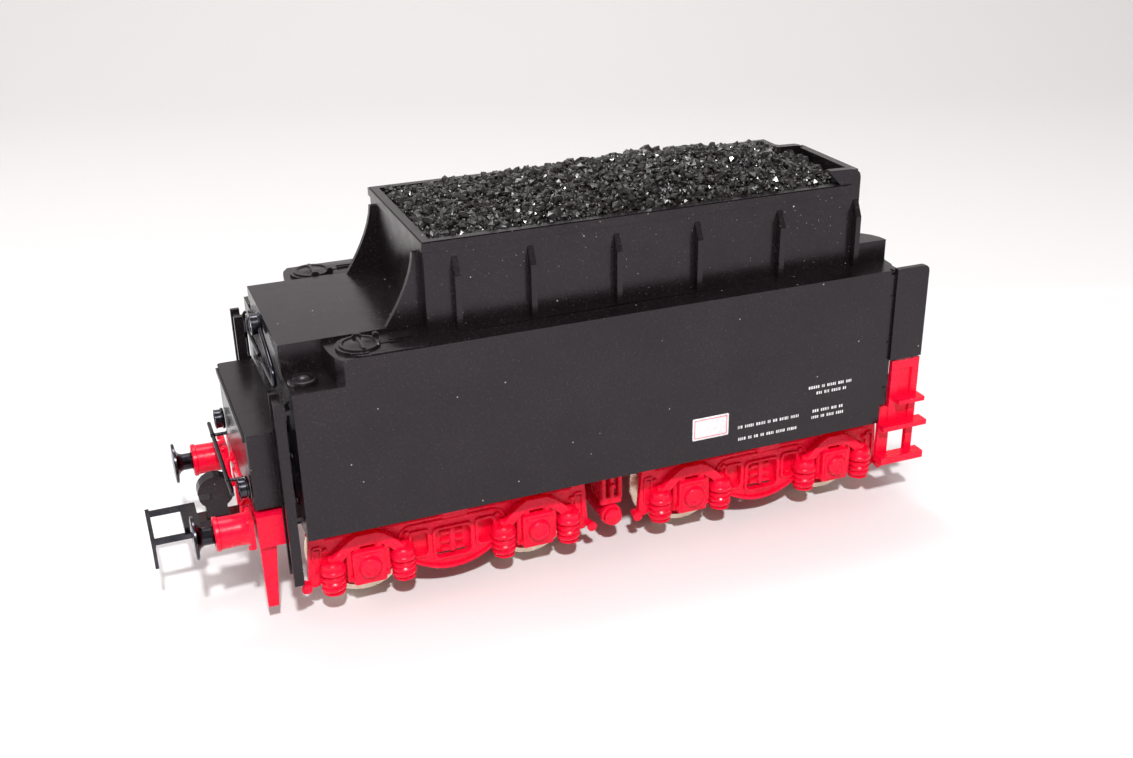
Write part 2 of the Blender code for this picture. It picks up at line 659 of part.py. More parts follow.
def make_coupler():
    z = COUPLER_Z
    pocket = box(-43.2, -36.4, -3.1, 3.1, z - 1.5, z + 1.2)
    join(pocket, box(-42.0, -36.4, -3.1, 3.1, z + 1.0, FLOOR_BOTTOM - GAP))
    cut(pocket, box(-44, -37.2, -2.3, 2.3, z - 0.8, z + 0.8))
    join(pocket, rod("Z", z - 1.2, z + 1.0, (COUPLER_PIVOT_X, 0), 0.55, sides=12))
    finish(pocket, "coupler_pocket", "black_plastic")

    shank = [
        (LOOP_PIVOT_X + 0.6, -1.2),
        *arc((COUPLER_PIVOT_X, 0), 1.2, -90, 90, 8),
        (LOOP_PIVOT_X + 0.6, 1.2),
    ]
    eye = arc((COUPLER_PIVOT_X, 0), 0.85, 0, 330, 11)
    body = plate([shank, eye], "XY", z - 0.5, z + 0.5)
    join(
        body,
        box(LOOP_PIVOT_X - 0.9, LOOP_PIVOT_X + 1.0, -3.0, 3.0, z - 0.5, z + 1.1),
        box(-48.2, -45.6, -0.9, 0.9, z + 0.3, 12.6),
        rod("Y", -0.9, 0.9, (-46.8, 13.7), 2.2, sides=20),
    )
    cut(
        body,
        box(-50, -47.4, -1.5, 1.5, 12.9, 13.8),
        rod("Y", -3.5, -2.2, (LOOP_PIVOT_X, z + 0.3), 0.62, sides=12),
        rod("Y", 2.2, 3.5, (LOOP_PIVOT_X, z + 0.3), 0.62, sides=12),
    )
    finish(body, "coupler_body", "black_plastic", spot=(COUPLER_PIVOT_X, 0, z))

    axis_z = z + 0.3
    bow = [
        (LOOP_END, -4.4),
        (LOOP_END + 0.5, -4.4),
        (LOOP_END + 0.5, -3.9),
        (LOOP_PIVOT_X + 0.6, -3.9),
        (LOOP_PIVOT_X + 0.6, -3.3),
        (LOOP_END + 0.5, -3.3),
        (LOOP_END + 0.5, 3.3),
        (LOOP_PIVOT_X + 0.6, 3.3),
        (LOOP_PIVOT_X + 0.6, 3.9),
        (LOOP_END + 0.5, 3.9),
        (LOOP_END + 0.5, 4.4),
        (LOOP_END, 4.4),
    ]
    loop = plate([bow], "XY", axis_z - 0.32, axis_z + 0.32)
    join(
        loop,
        rod("Y", -3.6, -2.5, (LOOP_PIVOT_X, axis_z), 0.35, sides=12),
        rod("Y", 2.5, 3.6, (LOOP_PIVOT_X, axis_z), 0.35, sides=12),
        box(LOOP_END + 0.02, LOOP_END + 0.45, -4.35, -3.85, 6.8, axis_z),
    )
    finish(loop, "coupler_loop", "blackened_metal", spot=(LOOP_PIVOT_X, 0, axis_z))


def make_drawbar():
    x = DRAWBAR_PIVOT_X
    pad = (DRAWBAR_TIP - 2.2, 0)
    outline = [
        *arc((x, 0), 2.2, 45, 315, 10),
        (x + 2.1, -1.1),
        (pad[0] - 2.1, -1.1),
        *arc(pad, 2.2, -135, 135, 10),
        (pad[0] - 2.1, 1.1),
        (x + 2.1, 1.1),
    ]
    bar = plate([outline, arc((x, 0), 1.0, 0, 330, 11)], "XY", DRAWBAR_Z - 0.6, DRAWBAR_Z + 0.6)
    finish(bar, "drawbar", "blackened_metal", spot=(x, 0, DRAWBAR_Z))


# ---------------------------------------------------------------- bogies


def spring_nest(x):
    """A coil spring with its seat and cap, standing at x on the right-hand side frame."""
    return [
        rod("Z", SPRING_FOOT, 7.3, (x, -SPRING_Y), SPRING_R, sides=14),
        rod("Z", 7.1, 7.9, (x, -SPRING_Y), SPRING_R + 0.15, sides=14),
    ]


def frame_outline():
    """A bogie side frame seen from its side: a level top, square ends and a fish belly."""
    belly = [(x, 2.95 + 1.9 * (x / 5.4) ** 2) for x in (-5.4, -3.6, -1.8, 0, 1.8, 3.6, 5.4)]
    return [
        (-FRAME_END, 11.3),
        (-FRAME_END, 4.1),
        (-17.1, 4.1),
        (-16.9, 5.2),
        (-6.0, 5.3),
        *belly,
        (6.0, 5.3),
        (16.9, 5.2),
        (17.1, 4.1),
        (FRAME_END, 4.1),
        (FRAME_END, 11.3),
        (15.6, 12.8),
        (-15.6, 12.8),
    ]


def equaliser_outline(x):
    """The arched beam over an axle box, thick in the middle."""
    outer = [(x + u, 11.1 - 0.182 * abs(u) ** 1.85) for u in (-4.9, -3.7, -2.4, -1.1, 1.1, 2.4, 3.7, 4.9)]
    inner = [(x + u, 9.6 - 0.205 * abs(u) ** 1.9) for u in (4.1, 3.0, 1.6, -1.6, -3.0, -4.1)]
    return outer + inner


def make_side_frame():
    windows = [
        rounded(-2.3, 2.3, 4.7, 8.7, 0.7),
        rounded(-5.35, -3.25, 5.6, 8.9, 0.6),
        rounded(3.25, 5.35, 5.6, 8.9, 0.6),
    ]
    frame = plate([frame_outline(), *windows], "XZ", -FRAME_OUTER, -FRAME_INNER)
    details = []
    for x in (-AXLE_OFFSET, AXLE_OFFSET):
        details.append(plate([equaliser_outline(x)], "XZ", -13.1, -FRAME_OUTER + 0.2))
        details.append(box(x - 2.05, x + 2.05, -13.3, -FRAME_OUTER + 0.2, 4.0, 8.6))
        details.append(rod("Y", -13.75, -13.1, (x, AXLE_Z - 0.4), 1.35, sides=14))
        for shift in (-SPRING_OFFSET, SPRING_OFFSET):
            details += spring_nest(x + shift)
    for end in (-1, 1):
        details.append(rod("Y", -12.7, -11.2, (end * 18.6, 4.6), 0.65, sides=12))
    join(frame, *details)
    bores = [rod("Y", -12.3, -FRAME_INNER + 1, (x, AXLE_Z), AXLE_R + GAP) for x in (-AXLE_OFFSET, AXLE_OFFSET)]
    cut(frame, *bores)
    return frame


def make_bolster():
    end = FRAME_INNER - GAP
    bolster = box(-3.3, 3.3, -end, end, 7.6, 12.0)
    join(
        bolster,
        box(-14.4, 14.4, -3.2, 3.2, 9.4, 11.8),
        rod("Z", 11.5, 12.6, (0, 0), 3.0),
    )
    cut(bolster, rod("Z", 5, 14, (0, 0), 1.4), rod("Z", 5, 10.2, (0, 0), 2.3))
    return bolster


def make_wheel():
    """Disc wheel of the left side, flange towards the middle of the track."""
    profile = [
        (WHEEL_BACK, BORE_R),
        (WHEEL_BACK + 0.1, AXLE_Z),
        (WHEEL_BACK + 0.6, AXLE_Z),
        (WHEEL_BACK + 0.9, TREAD_R + 0.1),
        (WHEEL_FACE, TREAD_R),
        (WHEEL_FACE - 0.1, TREAD_R - 1.0),
        (WHEEL_FACE - 0.8, TREAD_R - 1.4),
        (WHEEL_FACE - 0.8, 2.2),
        (WHEEL_FACE, BORE_R),
    ]
    return turned(profile, 24, (0, 0, 0))


def make_axle():
    full, tip = 10.3, 11.9
    axle = rod("Y", -full, full, (0, 0), AXLE_R, sides=12)
    return join(
        axle,
        rod("Y", full - 0.2, tip, (0, 0), AXLE_R - 0.05, 0.25, sides=12),
        rod("Y", -tip, 0.2 - full, (0, 0), 0.25, AXLE_R - 0.05, sides=12),
    )


def make_bogies():
    side_frame = finish(make_side_frame(), "bogie_rear_frame_right", "red_plastic")
    bolster = finish(make_bolster(), "bogie_rear_bolster", "red_plastic")
    wheel = finish(make_wheel(), "wheel_1_left", "nickel_steel")
    axle = finish(make_axle(), "axle_1", "nickel_steel")
    moulds = (side_frame, bolster, wheel, axle)
    number = 0
    for place_name, x in BOGIE_SPOTS.items():
        pivot = bpy.data.objects.new(f"bogie_{place_name}_pivot", None)
        pivot.location = (x * MM, 0, 0)
        pivot.parent = TENDER
        PARTS.objects.link(pivot)
        copy_of(bolster, f"{place_name}_bogie_bolster", pivot, (0, 0, 0))
        copy_of(side_frame, f"{place_name}_bogie_frame_right", pivot, (0, 0, 0))
        copy_of(side_frame, f"{place_name}_bogie_frame_left", pivot, (0, 0, 0), math.pi)
        for shift in (-AXLE_OFFSET, AXLE_OFFSET):
            number += 1
            spot = (shift, 0, AXLE_Z)
            copy_of(axle, f"axle_shaft_{number}", pivot, spot)
            copy_of(wheel, f"wheel_left_{number}", pivot, spot)
            copy_of(wheel, f"wheel_right_{number}", pivot, spot, math.pi)
        make_screw(f"{place_name}_pivot_screw", (x, 0), 8.9, 9.9, 15.9, 1.05, 1.9)
    for mould in moulds:
        bpy.data.objects.remove(mould)


make_shell()
make_coal()
make_underframe()
make_ballast()
for side, hand in ((1, "left"), (-1, "right")):
    make_screw(f"body_screw_{hand}", (BOSS_X, side * BOSS_Y), 12.9, FLOOR_BOTTOM - GAP, 24.0, 0.8, 1.7)
make_screw("drawbar_screw", (DRAWBAR_PIVOT_X, 0), DRAWBAR_Z - 1.9, DRAWBAR_Z - 0.9, 15.2, 0.65, 1.6)
make_reservoir()
make_front_end()
make_rear_end()
make_lamp("lamp_top", -TANK_END - 0.14 - LAMP_GAP, 0, 34.6, 1.25, 1.3)
for side, hand in ((1, "left"), (-1, "right")):
    make_lamp(f"lamp_{hand}", BOX_REAR - LAMP_GAP, side * LAMP_Y, LAMP_Z, 1.2, 1.2)
make_coupler()
make_drawbar()
make_bogies()
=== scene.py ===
"""Looks of a model railway bogie tender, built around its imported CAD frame.

Shapes are drawn in millimetres and scaled to metres when a piece is made. The frame's origin
is the middle of the overall box on the plane that the wheel flanges touch, +X points to the
locomotive end and +Y to the left-hand side.
"""

import json
import math
import random

import bmesh
import bpy
from mathutils import Matrix, Vector, noise


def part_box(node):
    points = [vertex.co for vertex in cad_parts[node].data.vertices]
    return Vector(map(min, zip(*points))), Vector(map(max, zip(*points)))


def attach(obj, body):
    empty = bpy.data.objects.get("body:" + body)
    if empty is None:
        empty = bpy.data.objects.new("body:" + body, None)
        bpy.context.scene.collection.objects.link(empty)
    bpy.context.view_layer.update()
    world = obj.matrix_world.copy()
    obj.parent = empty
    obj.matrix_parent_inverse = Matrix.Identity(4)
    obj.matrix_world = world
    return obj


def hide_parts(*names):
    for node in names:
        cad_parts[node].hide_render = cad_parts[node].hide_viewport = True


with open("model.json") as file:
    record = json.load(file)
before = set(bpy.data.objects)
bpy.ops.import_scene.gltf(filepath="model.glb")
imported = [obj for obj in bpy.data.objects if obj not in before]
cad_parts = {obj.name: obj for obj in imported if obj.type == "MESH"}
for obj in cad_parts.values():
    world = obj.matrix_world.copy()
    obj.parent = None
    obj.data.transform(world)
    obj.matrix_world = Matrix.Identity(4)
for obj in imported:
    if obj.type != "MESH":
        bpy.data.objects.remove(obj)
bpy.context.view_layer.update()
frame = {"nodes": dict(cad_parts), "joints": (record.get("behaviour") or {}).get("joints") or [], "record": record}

MM = 0.001
SEED = 7
RNG = random.Random(SEED)
SIDES = (("left", 1), ("right", -1))


def box_mm(node):
    """Lowest and highest corner of a CAD node, in millimetres."""
    low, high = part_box(node)
    return low / MM, high / MM


def joint_spot(name):
    """Where a joint sits, in millimetres."""
    return next(Vector(j["pos_m"]) / MM for j in frame["joints"] if j["name"] == name)


# ---------------------------------------------------------------- materials


class Finish:
    """A Principled material with nodes that vary its colour, roughness and relief."""

    def __init__(self, name, **uniform):
        """Sets the sockets whose value is the same all over."""
        self.material = bpy.data.materials.new(name)
        self.material.use_nodes = True
        self.tree = self.material.node_tree
        self.shader = self.tree.nodes["Principled BSDF"]
        for socket, value in uniform.items():
            self.shader.inputs[socket.replace("_", " ")].default_value = value
        self.spots = self.add("ShaderNodeTexCoord").outputs["Object"]
        self.height = None

    def add(self, kind, **settings):
        """Adds a node with its settings."""
        node = self.tree.nodes.new(kind)
        for key, value in settings.items():
            setattr(node, key, value)
        return node

    def link(self, source, target):
        self.tree.links.new(source, target)

    def scaled(self, stretch):
        """Object coordinates in millimetres, stretched along the axes."""
        mapping = self.add("ShaderNodeMapping")
        mapping.inputs["Scale"].default_value = [s / MM for s in stretch]
        self.link(self.spots, mapping.inputs["Vector"])
        return mapping.outputs["Vector"]

    def noise(self, per_mm, detail=3.0, roughness=0.55, stretch=(1, 1, 1)):
        """Cloudy noise, this many lumps in a millimetre."""
        node = self.add("ShaderNodeTexNoise")
        node.inputs["Scale"].default_value = per_mm
        node.inputs["Detail"].default_value = detail
        node.inputs["Roughness"].default_value = roughness
        self.link(self.scaled(stretch), node.inputs["Vector"])
        return node.outputs["Fac"]

    def cells(self, per_mm, feature="F1", output="Distance"):
        """Cells round scattered points, this many in a millimetre."""
        node = self.add("ShaderNodeTexVoronoi", feature=feature)
        node.inputs["Scale"].default_value = per_mm
        self.link(self.scaled((1, 1, 1)), node.inputs["Vector"])
        return node.outputs[output]

    def ramp(self, factor, low, high, first=0.0, last=1.0):
        """Runs between two values or colours as the factor goes from first to last."""
        node = self.add("ShaderNodeMapRange")
        node.inputs["From Min"].default_value = first
        node.inputs["From Max"].default_value = last
        if isinstance(low, (int, float)):
            node.inputs["To Min"].default_value = low
            node.inputs["To Max"].default_value = high
            self.link(factor, node.inputs["Value"])
            return node.outputs["Result"]
        self.link(factor, node.inputs["Value"])
        return self.mixed(node.outputs["Result"], low, high)

    def mixed(self, factor, low, high):
        """Blends two colours or sockets by a factor."""
        node = self.add("ShaderNodeMix", data_type="RGBA")
        self.link(factor, node.inputs["Factor"])
        for value, socket in ((low, node.inputs[6]), (high, node.inputs[7])):
            if isinstance(value, bpy.types.NodeSocket):
                self.link(value, socket)
            else:
                socket.default_value = (*value, 1)
        return node.outputs[2]

    def specks(self, per_mm, share, size):
        """1 on scattered dust specks and 0 elsewhere: a share of the cells holds one of this size."""
        distance = self.cells(per_mm)
        chance = self.add("ShaderNodeSeparateColor")
        self.link(self.cells(per_mm, output="Color"), chance.inputs["Color"])
        chosen = self.ramp(chance.outputs["Red"], 1.0, 0.0, share, share + 0.01)
        near = self.ramp(distance, 1.0, 0.0, size * 0.6, size)
        return self.both(chosen, near)

    def both(self, first, second):
        """The product of two factors."""
        node = self.add("ShaderNodeMath", operation="MULTIPLY")
        self.link(first, node.inputs[0])
        self.link(second, node.inputs[1])
        return node.outputs[0]

    def colour(self, source):
        self.link(source, self.shader.inputs["Base Color"])

    def roughness(self, source):
        self.link(source, self.shader.inputs["Roughness"])

    def relief(self, source, depth):
        """Adds bumps of this depth in millimetres to those already there."""
        bump = self.add("ShaderNodeBump")
        bump.inputs["Distance"].default_value = depth * MM
        self.link(source, bump.inputs["Height"])
        if self.height is not None:
            self.link(self.height, bump.inputs["Normal"])
        self.height = bump.outputs["Normal"]
        self.link(self.height, self.shader.inputs["Normal"])


# Dust lies thickest above the tank's deck, between these two heights.
DUST_FROM = 34.5
DUST_FULL = 37.0


def black_plastic():
    """Satin black moulding with a fine grain, faint handling marks and dust, most on the upper works."""
    finish = Finish("black_plastic", IOR=1.5, Specular_IOR_Level=0.38)
    finish.shader.inputs["Specular Tint"].default_value = (1.0, 0.88, 0.96, 1)
    tone = finish.ramp(finish.noise(0.15, 4.0), (0.005, 0.0036, 0.0044), (0.009, 0.0068, 0.008), 0.3, 0.7)
    hazy = finish.mixed(finish.ramp(finish.noise(3.0, 3.0), 0.0, 0.09, 0.5, 0.75), tone, (0.12, 0.1, 0.1))
    place = finish.add("ShaderNodeSeparateXYZ")
    finish.link(finish.spots, place.inputs["Vector"])
    upper = finish.ramp(place.outputs["Z"], 0.16, 1.0, DUST_FROM * MM, DUST_FULL * MM)
    patches = finish.ramp(finish.noise(0.22, 2.0), 0.15, 1.0, 0.38, 0.62)
    fine = finish.both(finish.specks(2.3, 0.2, 0.16), finish.both(upper, patches))
    coarse = finish.both(finish.specks(0.85, 0.1, 0.1), finish.ramp(upper, 0.45, 0.9))
    dusty = finish.mixed(finish.ramp(fine, 0.0, 0.75), hazy, (0.44, 0.4, 0.38))
    finish.colour(finish.mixed(coarse, dusty, (0.62, 0.57, 0.54)))
    finish.roughness(finish.ramp(finish.noise(0.5, 5.0), 0.2, 0.28, 0.3, 0.7))
    finish.relief(finish.noise(6.0, 2.0), 0.009)
    return finish.material


def red_plastic():
    """Semi-gloss crimson moulding, a little translucent."""
    finish = Finish("red_plastic", IOR=1.5, Specular_IOR_Level=0.24, Subsurface_Weight=0.1)
    finish.shader.inputs["Subsurface Scale"].default_value = 0.5 * MM
    finish.shader.inputs["Subsurface Radius"].default_value = (1.0, 0.08, 0.06)
    tone = finish.ramp(finish.noise(0.5, 3.0), (0.76, 0.002, 0.028), (0.9, 0.004, 0.042), 0.3, 0.7)
    finish.colour(finish.mixed(finish.specks(1.1, 0.06, 0.09), tone, (0.85, 0.4, 0.45)))
    finish.roughness(finish.ramp(finish.noise(1.4, 4.0), 0.2, 0.36, 0.3, 0.7))
    finish.relief(finish.noise(2.2, 3.0), 0.02)
    finish.relief(finish.noise(7.0, 2.0), 0.006)
    return finish.material


def coal_black():
    """Crushed coal: glossy broken faces between dull, brown-black ones."""
    finish = Finish("coal_black", IOR=1.6, Specular_IOR_Level=0.6)
    shade = finish.cells(1.3, output="Color")
    parts = finish.add("ShaderNodeSeparateColor")
    finish.link(shade, parts.inputs["Color"])
    tone = finish.ramp(parts.outputs["Red"], (0.0022, 0.0018, 0.002), (0.012, 0.0085, 0.0075))
    finish.colour(finish.mixed(finish.specks(2.0, 0.1, 0.14), tone, (0.2, 0.16, 0.13)))
    finish.roughness(finish.ramp(parts.outputs["Green"], 0.16, 0.46, 0.2, 0.95))
    finish.relief(finish.noise(2.4, 3.0), 0.02)
    return finish.material


def blackened_metal():
    """Chemically blackened steel, polished by handling."""
    finish = Finish("blackened_metal", Metallic=1.0)
    worn = finish.ramp(finish.noise(0.35, 2.0), (0.035, 0.034, 0.042), (0.085, 0.082, 0.095), 0.35, 0.7)
    finish.colour(finish.mixed(finish.specks(1.6, 0.08, 0.1), worn, (0.3, 0.3, 0.33)))
    finish.roughness(finish.ramp(finish.noise(1.2, 2.0), 0.16, 0.26, 0.3, 0.7))
    finish.relief(finish.noise(8.0, 2.0), 0.0015)
    return finish.material


def nickel():
    """Nickel-plated wheel steel with fine turning marks."""
    finish = Finish("nickel", Metallic=1.0)
    tone = finish.ramp(finish.noise(0.6, 3.0), (0.62, 0.54, 0.40), (0.80, 0.74, 0.60), 0.3, 0.7)
    finish.colour(tone)
    finish.roughness(finish.ramp(finish.noise(1.2, 3.0), 0.2, 0.38, 0.3, 0.7))
    finish.relief(finish.noise(1.0, 2.0, stretch=(0.4, 14, 0.4)), 0.004)
    return finish.material


def zinc_steel():
    """Plated screw steel."""
    finish = Finish("zinc_steel", Metallic=1.0)
    finish.colour(finish.ramp(finish.noise(1.5), (0.4, 0.4, 0.42), (0.62, 0.62, 0.64), 0.3, 0.7))
    finish.roughness(finish.ramp(finish.noise(2.5), 0.25, 0.42, 0.3, 0.7))
    finish.relief(finish.noise(6.0), 0.004)
    return finish.material


def cast_zinc():
    """Dull cast ballast."""
    finish = Finish("cast_zinc", Metallic=0.8)
    finish.colour(finish.ramp(finish.noise(0.5, 5.0), (0.2, 0.2, 0.21), (0.38, 0.38, 0.4), 0.3, 0.7))
    finish.roughness(finish.ramp(finish.noise(1.0), 0.5, 0.75, 0.3, 0.7))
    finish.relief(finish.noise(1.8, 5.0), 0.04)
    return finish.material


def white_print():
    """Thin matt white ink or paper."""
    finish = Finish("white_print")
    finish.colour(finish.ramp(finish.noise(1.5, 3.0), (0.66, 0.64, 0.66), (0.86, 0.84, 0.86), 0.3, 0.7))
    finish.roughness(finish.ramp(finish.noise(3.0), 0.5, 0.7))
    finish.relief(finish.noise(8.0), 0.004)
    return finish.material


def lens_glass():
    """Clear lamp glass over a pale reflector."""
    finish = Finish("lamp_glass", IOR=1.5, Coat_Weight=1.0)
    finish.colour(finish.ramp(finish.noise(1.5), (0.5, 0.5, 0.52), (0.8, 0.8, 0.8), 0.3, 0.7))
    finish.roughness(finish.ramp(finish.noise(2.5), 0.12, 0.25))
    finish.relief(finish.noise(1.4, 1.0, stretch=(1, 1, 0.2)), 0.03)
    return finish.material


# The card's far part starts across this direction, between these two distances in metres.
CARD_DIRECTION = (0.273, 0.962, 0.0)
CARD_EDGE = (0.072, 0.078)


def pale_floor():
    """White card, a touch greyer beyond a line behind the model."""
    finish = Finish("pale_floor", IOR=1.4, Specular_IOR_Level=0.2)
    card = finish.ramp(finish.noise(0.02, 3.0), (0.82, 0.815, 0.82), (0.85, 0.845, 0.85), 0.3, 0.7)
    away = finish.add("ShaderNodeVectorMath", operation="DOT_PRODUCT")
    finish.link(finish.spots, away.inputs[0])
    away.inputs[1].default_value = CARD_DIRECTION
    beyond = finish.ramp(away.outputs["Value"], 0.0, 1.0, *CARD_EDGE)
    finish.colour(finish.mixed(beyond, card, (0.83, 0.81, 0.81)))
    finish.roughness(finish.ramp(finish.noise(0.1), 0.6, 0.75))
    return finish.material


LOOKS = {
    "black_plastic": black_plastic(),
    "red_plastic": red_plastic(),
    "coal": coal_black(),
    "blackened_metal": blackened_metal(),
    "nickel_wheels": nickel(),
    "steel_screws": zinc_steel(),
    "zinc_weight": cast_zinc(),
}
WHITE_PRINT = white_print()
LENS = lens_glass()


def dress_cad_nodes():
    """Every carried-over node gets its slot's look and slightly rounded edges."""
    softness = {"tank_shell": 0.16, "rear_locker": 0.2, "buffer_beam": 0.1, "underframe": 0.1}
    usual = 0.08
    for part in frame["record"]["subparts"]:
        node = frame["nodes"][part["node"]]
        node.data.materials.clear()
        node.data.materials.append(LOOKS[part["material_slot"]])
        flatten = node.modifiers.new("flat faces", "DECIMATE")
        flatten.decimate_type = "DISSOLVE"
        flatten.angle_limit = math.radians(1.0)
        edges = node.modifiers.new("soft edges", "BEVEL")
        edges.width = softness.get(part["node"], usual) * MM
        edges.segments = 2
        edges.limit_method = "ANGLE"
        edges.angle_limit = math.radians(40)
        edges.use_clamp_overlap = True
        edges.harden_normals = False


dress_cad_nodes()


# ---------------------------------------------------------------- shapes


def piece(name, bm, body, slot=None, look=None, replaces=(), smooth=38, place=None):
    """Makes a mesh piece from millimetres, in its look, riding on a body."""
    bmesh.ops.recalc_face_normals(bm, faces=bm.faces)
    if place is not None:
        bm.transform(place)
    bm.transform(Matrix.Scale(MM, 4))
    mesh = bpy.data.meshes.new(name)
    bm.to_mesh(mesh)
    bm.free()
    mesh.materials.append(look or LOOKS[slot])
    mesh.shade_smooth()
    mesh.set_sharp_from_angle(angle=math.radians(smooth))
    obj = bpy.data.objects.new(name, mesh)
    bpy.context.scene.collection.objects.link(obj)
    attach(obj, body)
    if replaces:
        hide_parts(*replaces)
    return obj


def add_mesh(bm, mesh, matrix=None):
    """Adds a loose mesh to bm and removes it."""
    if matrix is not None:
        mesh.transform(matrix)
    bm.from_mesh(mesh)
    bpy.data.meshes.remove(mesh)


STAND = {
    "XY": Matrix.Identity(4),
    "XZ": Matrix.Rotation(math.pi / 2, 4, "X"),
    "YZ": Matrix(((0, 0, 1, 0), (1, 0, 0, 0), (0, 1, 0, 0), (0, 0, 0, 1))),
}


def slab(bm, outlines, plane, low, high, soft=0.12):
    """Adds an outline with any holes, between two heights across its plane, its edges rounded."""
    curve = bpy.data.curves.new("outline", "CURVE")
    curve.dimensions = "2D"
    curve.fill_mode = "BOTH"
    curve.extrude = (high - low) / 2 - soft
    curve.bevel_depth = soft
    curve.bevel_resolution = 1
    curve.offset = -soft
    for outline in outlines:
        spline = curve.splines.new("POLY")
        spline.points.add(len(outline) - 1)
        spline.use_cyclic_u = True
        for point, (u, v) in zip(spline.points, outline):
            point.co = (u, v, 0, 1)
    flat = bpy.data.objects.new("outline", curve)
    mesh = bpy.data.meshes.new_from_object(flat)
    bpy.data.objects.remove(flat)
    bpy.data.curves.remove(curve)
    middle = (low + high) / 2
    shift = {"XY": (0, 0, middle), "XZ": (0, middle, 0), "YZ": (middle, 0, 0)}[plane]
    loose = bmesh.new()
    loose.from_mesh(mesh)
    bmesh.ops.remove_doubles(loose, verts=loose.verts, dist=1e-4)
    loose.to_mesh(mesh)
    loose.free()
    add_mesh(bm, mesh, Matrix.Translation(shift) @ STAND[plane])


def block(bm, x, y, z, soft=0.1):
    """Adds a box between pairs of coordinates, its edges rounded."""
    loose = bmesh.new()
    bmesh.ops.create_cube(loose, size=1.0)
    spans = [Vector(pair) for pair in (x, y, z)]
    size = [abs(pair[1] - pair[0]) for pair in spans]
    middle = [(pair[1] + pair[0]) / 2 for pair in spans]
    loose.transform(Matrix.Translation(middle) @ Matrix.Diagonal((*size, 1)))
    bmesh.ops.bevel(loose, geom=loose.edges[:], offset=min(soft, min(size) * 0.4), segments=2, affect="EDGES")
    mesh = bpy.data.meshes.new("block")
    loose.to_mesh(mesh)
    loose.free()
    add_mesh(bm, mesh)


AIM = {
    "X": Matrix(((0, 0, 1, 0), (1, 0, 0, 0), (0, 1, 0, 0), (0, 0, 0, 1))),
    "Y": Matrix(((1, 0, 0, 0), (0, 0, 1, 0), (0, -1, 0, 0), (0, 0, 0, 1))),
    "Z": Matrix.Identity(4),
}


def lathe(bm, profile, axis, spot, sides=40):
    """Adds a turned shape: (distance along the axis, radius) pairs turned round it through spot."""
    place = Matrix.Translation(spot) @ AIM[axis]
    closed = profile[0] == profile[-1]
    rings = []
    for along, radius in profile[: -1 if closed else None]:
        if radius < 1e-6:
            rings.append([bm.verts.new(place @ Vector((0, 0, along)))])
            continue
        turns = [2 * math.pi * i / sides for i in range(sides)]
        rings.append(
            [bm.verts.new(place @ Vector((radius * math.cos(t), radius * math.sin(t), along))) for t in turns]
        )
    for low, high in zip(rings, [*rings[1:], rings[0]] if closed else rings[1:]):
        for i in range(sides):
            j = (i + 1) % sides
            corners = [low[i % len(low)], low[j % len(low)], high[j % len(high)], high[i % len(high)]]
            kept = [v for k, v in enumerate(corners) if v not in corners[:k]]
            if len(kept) > 2:
                bm.faces.new(kept)
    for mouth in (rings[0], rings[-1]):
        if len(mouth) > 1 and not closed:
            bm.faces.new(mouth)


def sweep(bm, points, radius, sides=8):
    """Adds a round wire along a line of points, its ends closed."""
    points = [Vector(p) for p in points]
    side = None
    rings = []
    for k, point in enumerate(points):
        ahead = points[min(k + 1, len(points) - 1)] - points[max(k - 1, 0)]
        ahead.normalize()
        if side is None:
            side = ahead.orthogonal().normalized()
        side = (side - ahead * side.dot(ahead)).normalized()
        up = ahead.cross(side)
        turns = [2 * math.pi * i / sides for i in range(sides)]
        rings.append([bm.verts.new(point + radius * (side * math.cos(t) + up * math.sin(t))) for t in turns])
    for low, high in zip(rings, rings[1:]):
        for i in range(sides):
            j = (i + 1) % sides
            bm.faces.new((low[i], low[j], high[j], high[i]))
    bm.faces.new(rings[0])
    bm.faces.new(rings[-1])


def bent(corners, radius=1.0, steps=5):
    """A line through corners with each inner corner rounded off."""
    corners = [Vector(c) for c in corners]
    line = [corners[0]]
    for before, corner, after in zip(corners, corners[1:], corners[2:]):
        back, ahead = before - corner, after - corner
        reach = min(radius, back.length * 0.45, ahead.length * 0.45)
        first, last = corner + back.normalized() * reach, corner + ahead.normalized() * reach
        for i in range(steps + 1):
            t = i / steps
            line.append(first * (1 - t) ** 2 + corner * 2 * t * (1 - t) + last * t**2)
    return [*line, corners[-1]]


def arc(centre, radius, start, end, steps):
    """Points on a circle, angles in degrees."""
    angles = [math.radians(start + (end - start) * i / steps) for i in range(steps + 1)]
    return [(centre[0] + radius * math.cos(a), centre[1] + radius * math.sin(a)) for a in angles]


def rounded(u0, u1, v0, v1, radius, steps=4):
    """A rectangle's outline with round corners."""
    corners = (
        ((u1 - radius, v1 - radius), 0),
        ((u0 + radius, v1 - radius), 90),
        ((u0 + radius, v0 + radius), 180),
        ((u1 - radius, v0 + radius), 270),
    )
    return [p for centre, turn in corners for p in arc(centre, radius, turn, turn + 90, steps)]


# ---------------------------------------------------------------- coal


def stone_shape():
    """Corners and faces of a twenty-sided stone of radius 1."""
    stone = bmesh.new()
    bmesh.ops.create_icosphere(stone, subdivisions=1, radius=1.0)
    corners = [vert.co.copy() for vert in stone.verts]
    faces = [[vert.index for vert in face.verts] for face in stone.faces]
    stone.free()
    return corners, faces


STONE_CORNERS, STONE_FACES = stone_shape()

# The heap meets the bunker's walls at this height above the load's foot.
HEAP_EDGE = 9.2
# The bed stays this far below the load's top, so that the lumps on it have room.
LUMP_ROOM = 0.95
BED_DEPTH = 2.0
BED_COLUMNS, BED_ROWS = 130, 54
